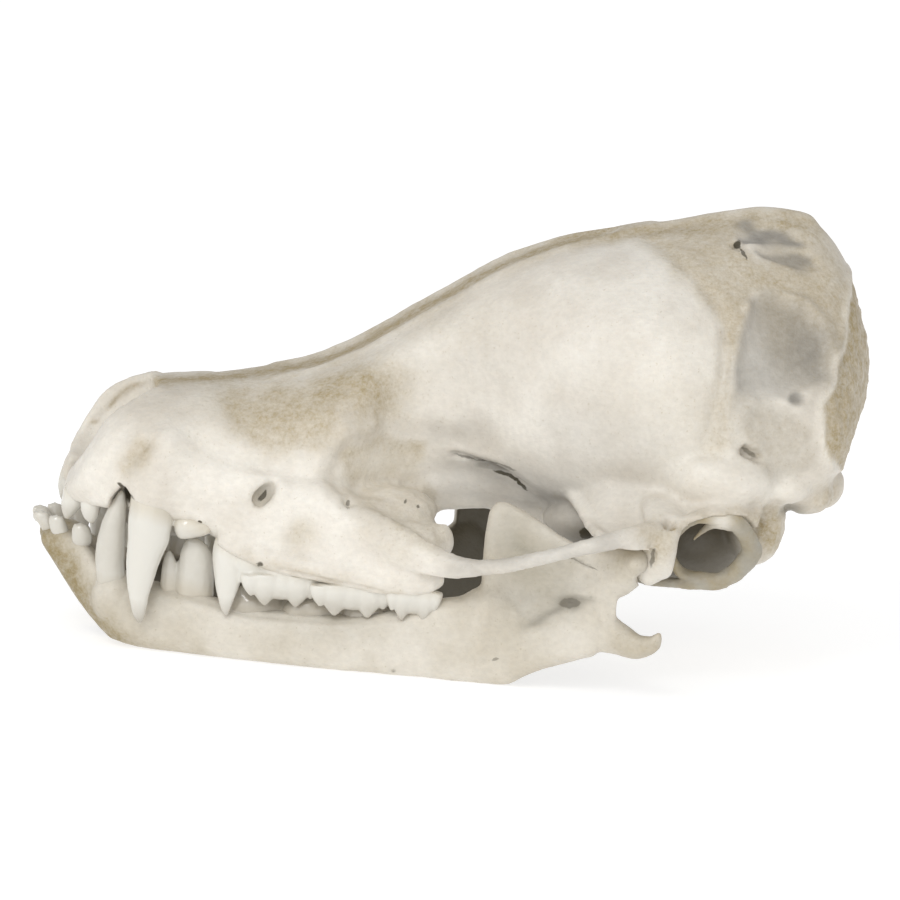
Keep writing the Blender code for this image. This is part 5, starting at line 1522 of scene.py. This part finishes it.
# The paper lies on a lit glass top, so the light from below thins out every shadow.
paper_shader.inputs["Emission Color"].default_value = (1.0, 1.0, 1.0, 1.0)
paper_shader.inputs["Emission Strength"].default_value = 0.70
floor.data.materials.append(paper)

# %% Light
world = bpy.data.worlds.new("white_room")
bpy.context.scene.world = world
world.use_nodes = True
world.node_tree.nodes["Background"].inputs["Color"].default_value = (1.0, 1.0, 1.0, 1.0)
world.node_tree.nodes["Background"].inputs["Strength"].default_value = 0.58

sky = bpy.data.objects.new("sky_light", bpy.data.lights.new("sky_light", "SUN"))
sky.data.energy, sky.data.angle = 1.3, math.radians(75)
sky.matrix_world = Vector((-0.42, -0.95, 0.42)).to_track_quat("Z", "Y").to_matrix().to_4x4()
pane = bpy.data.objects.new("window_pane", bpy.data.lights.new("window_pane", "AREA"))
pane.data.size, pane.data.energy = 55 * MM, 0.10
PANE_AT = Vector((-90, -210, 190)) * MM
pane.matrix_world = Matrix.Translation(PANE_AT) @ PANE_AT.to_track_quat("Z", "Y").to_matrix().to_4x4()
for lamp in (sky, pane):
    bpy.context.scene.collection.objects.link(lamp)

# %% Camera
PICTURE, PIXELS_PER_MM = 900, 29.0
AZIMUTH, ELEVATION, ROLL = math.radians(-5.4), math.radians(10.5), math.radians(4.1)
# The foot of the jaw under the blade, and the pixel where the photograph shows it.
FOOT, FOOT_PIXEL = Vector((1.3 - MIDDLE[0], -5.6, 0.0)) * MM, (470.0, 682.0)
SENSOR, LENS = 36.0, 300.0
back = Vector((
    math.sin(AZIMUTH) * math.cos(ELEVATION),
    -math.cos(AZIMUTH) * math.cos(ELEVATION),
    math.sin(ELEVATION),
))
level = Vector((math.cos(AZIMUTH), math.sin(AZIMUTH), 0.0))
up = back.cross(level)
right = level * math.cos(ROLL) + up * math.sin(ROLL)
top = up * math.cos(ROLL) - level * math.sin(ROLL)
view_width = PICTURE / PIXELS_PER_MM * MM
distance = view_width * LENS / SENSOR
rightwards = (PICTURE / 2 - FOOT_PIXEL[0]) / PIXELS_PER_MM * MM
upwards = (FOOT_PIXEL[1] - PICTURE / 2) / PIXELS_PER_MM * MM
aim = FOOT + right * rightwards + top * upwards
camera = bpy.data.objects.new("camera", bpy.data.cameras.new("camera"))
camera.data.lens, camera.data.sensor_width = LENS, SENSOR
camera.data.clip_start, camera.data.clip_end = 0.01, 20.0
turned = Matrix((right, top, back)).transposed().to_4x4()
camera.matrix_world = Matrix.Translation(aim + back * distance) @ turned
bpy.context.scene.collection.objects.link(camera)
bpy.context.scene.camera = camera
bpy.context.scene.view_settings.view_transform = "Standard"
print("camera", round(distance, 3), "m away")
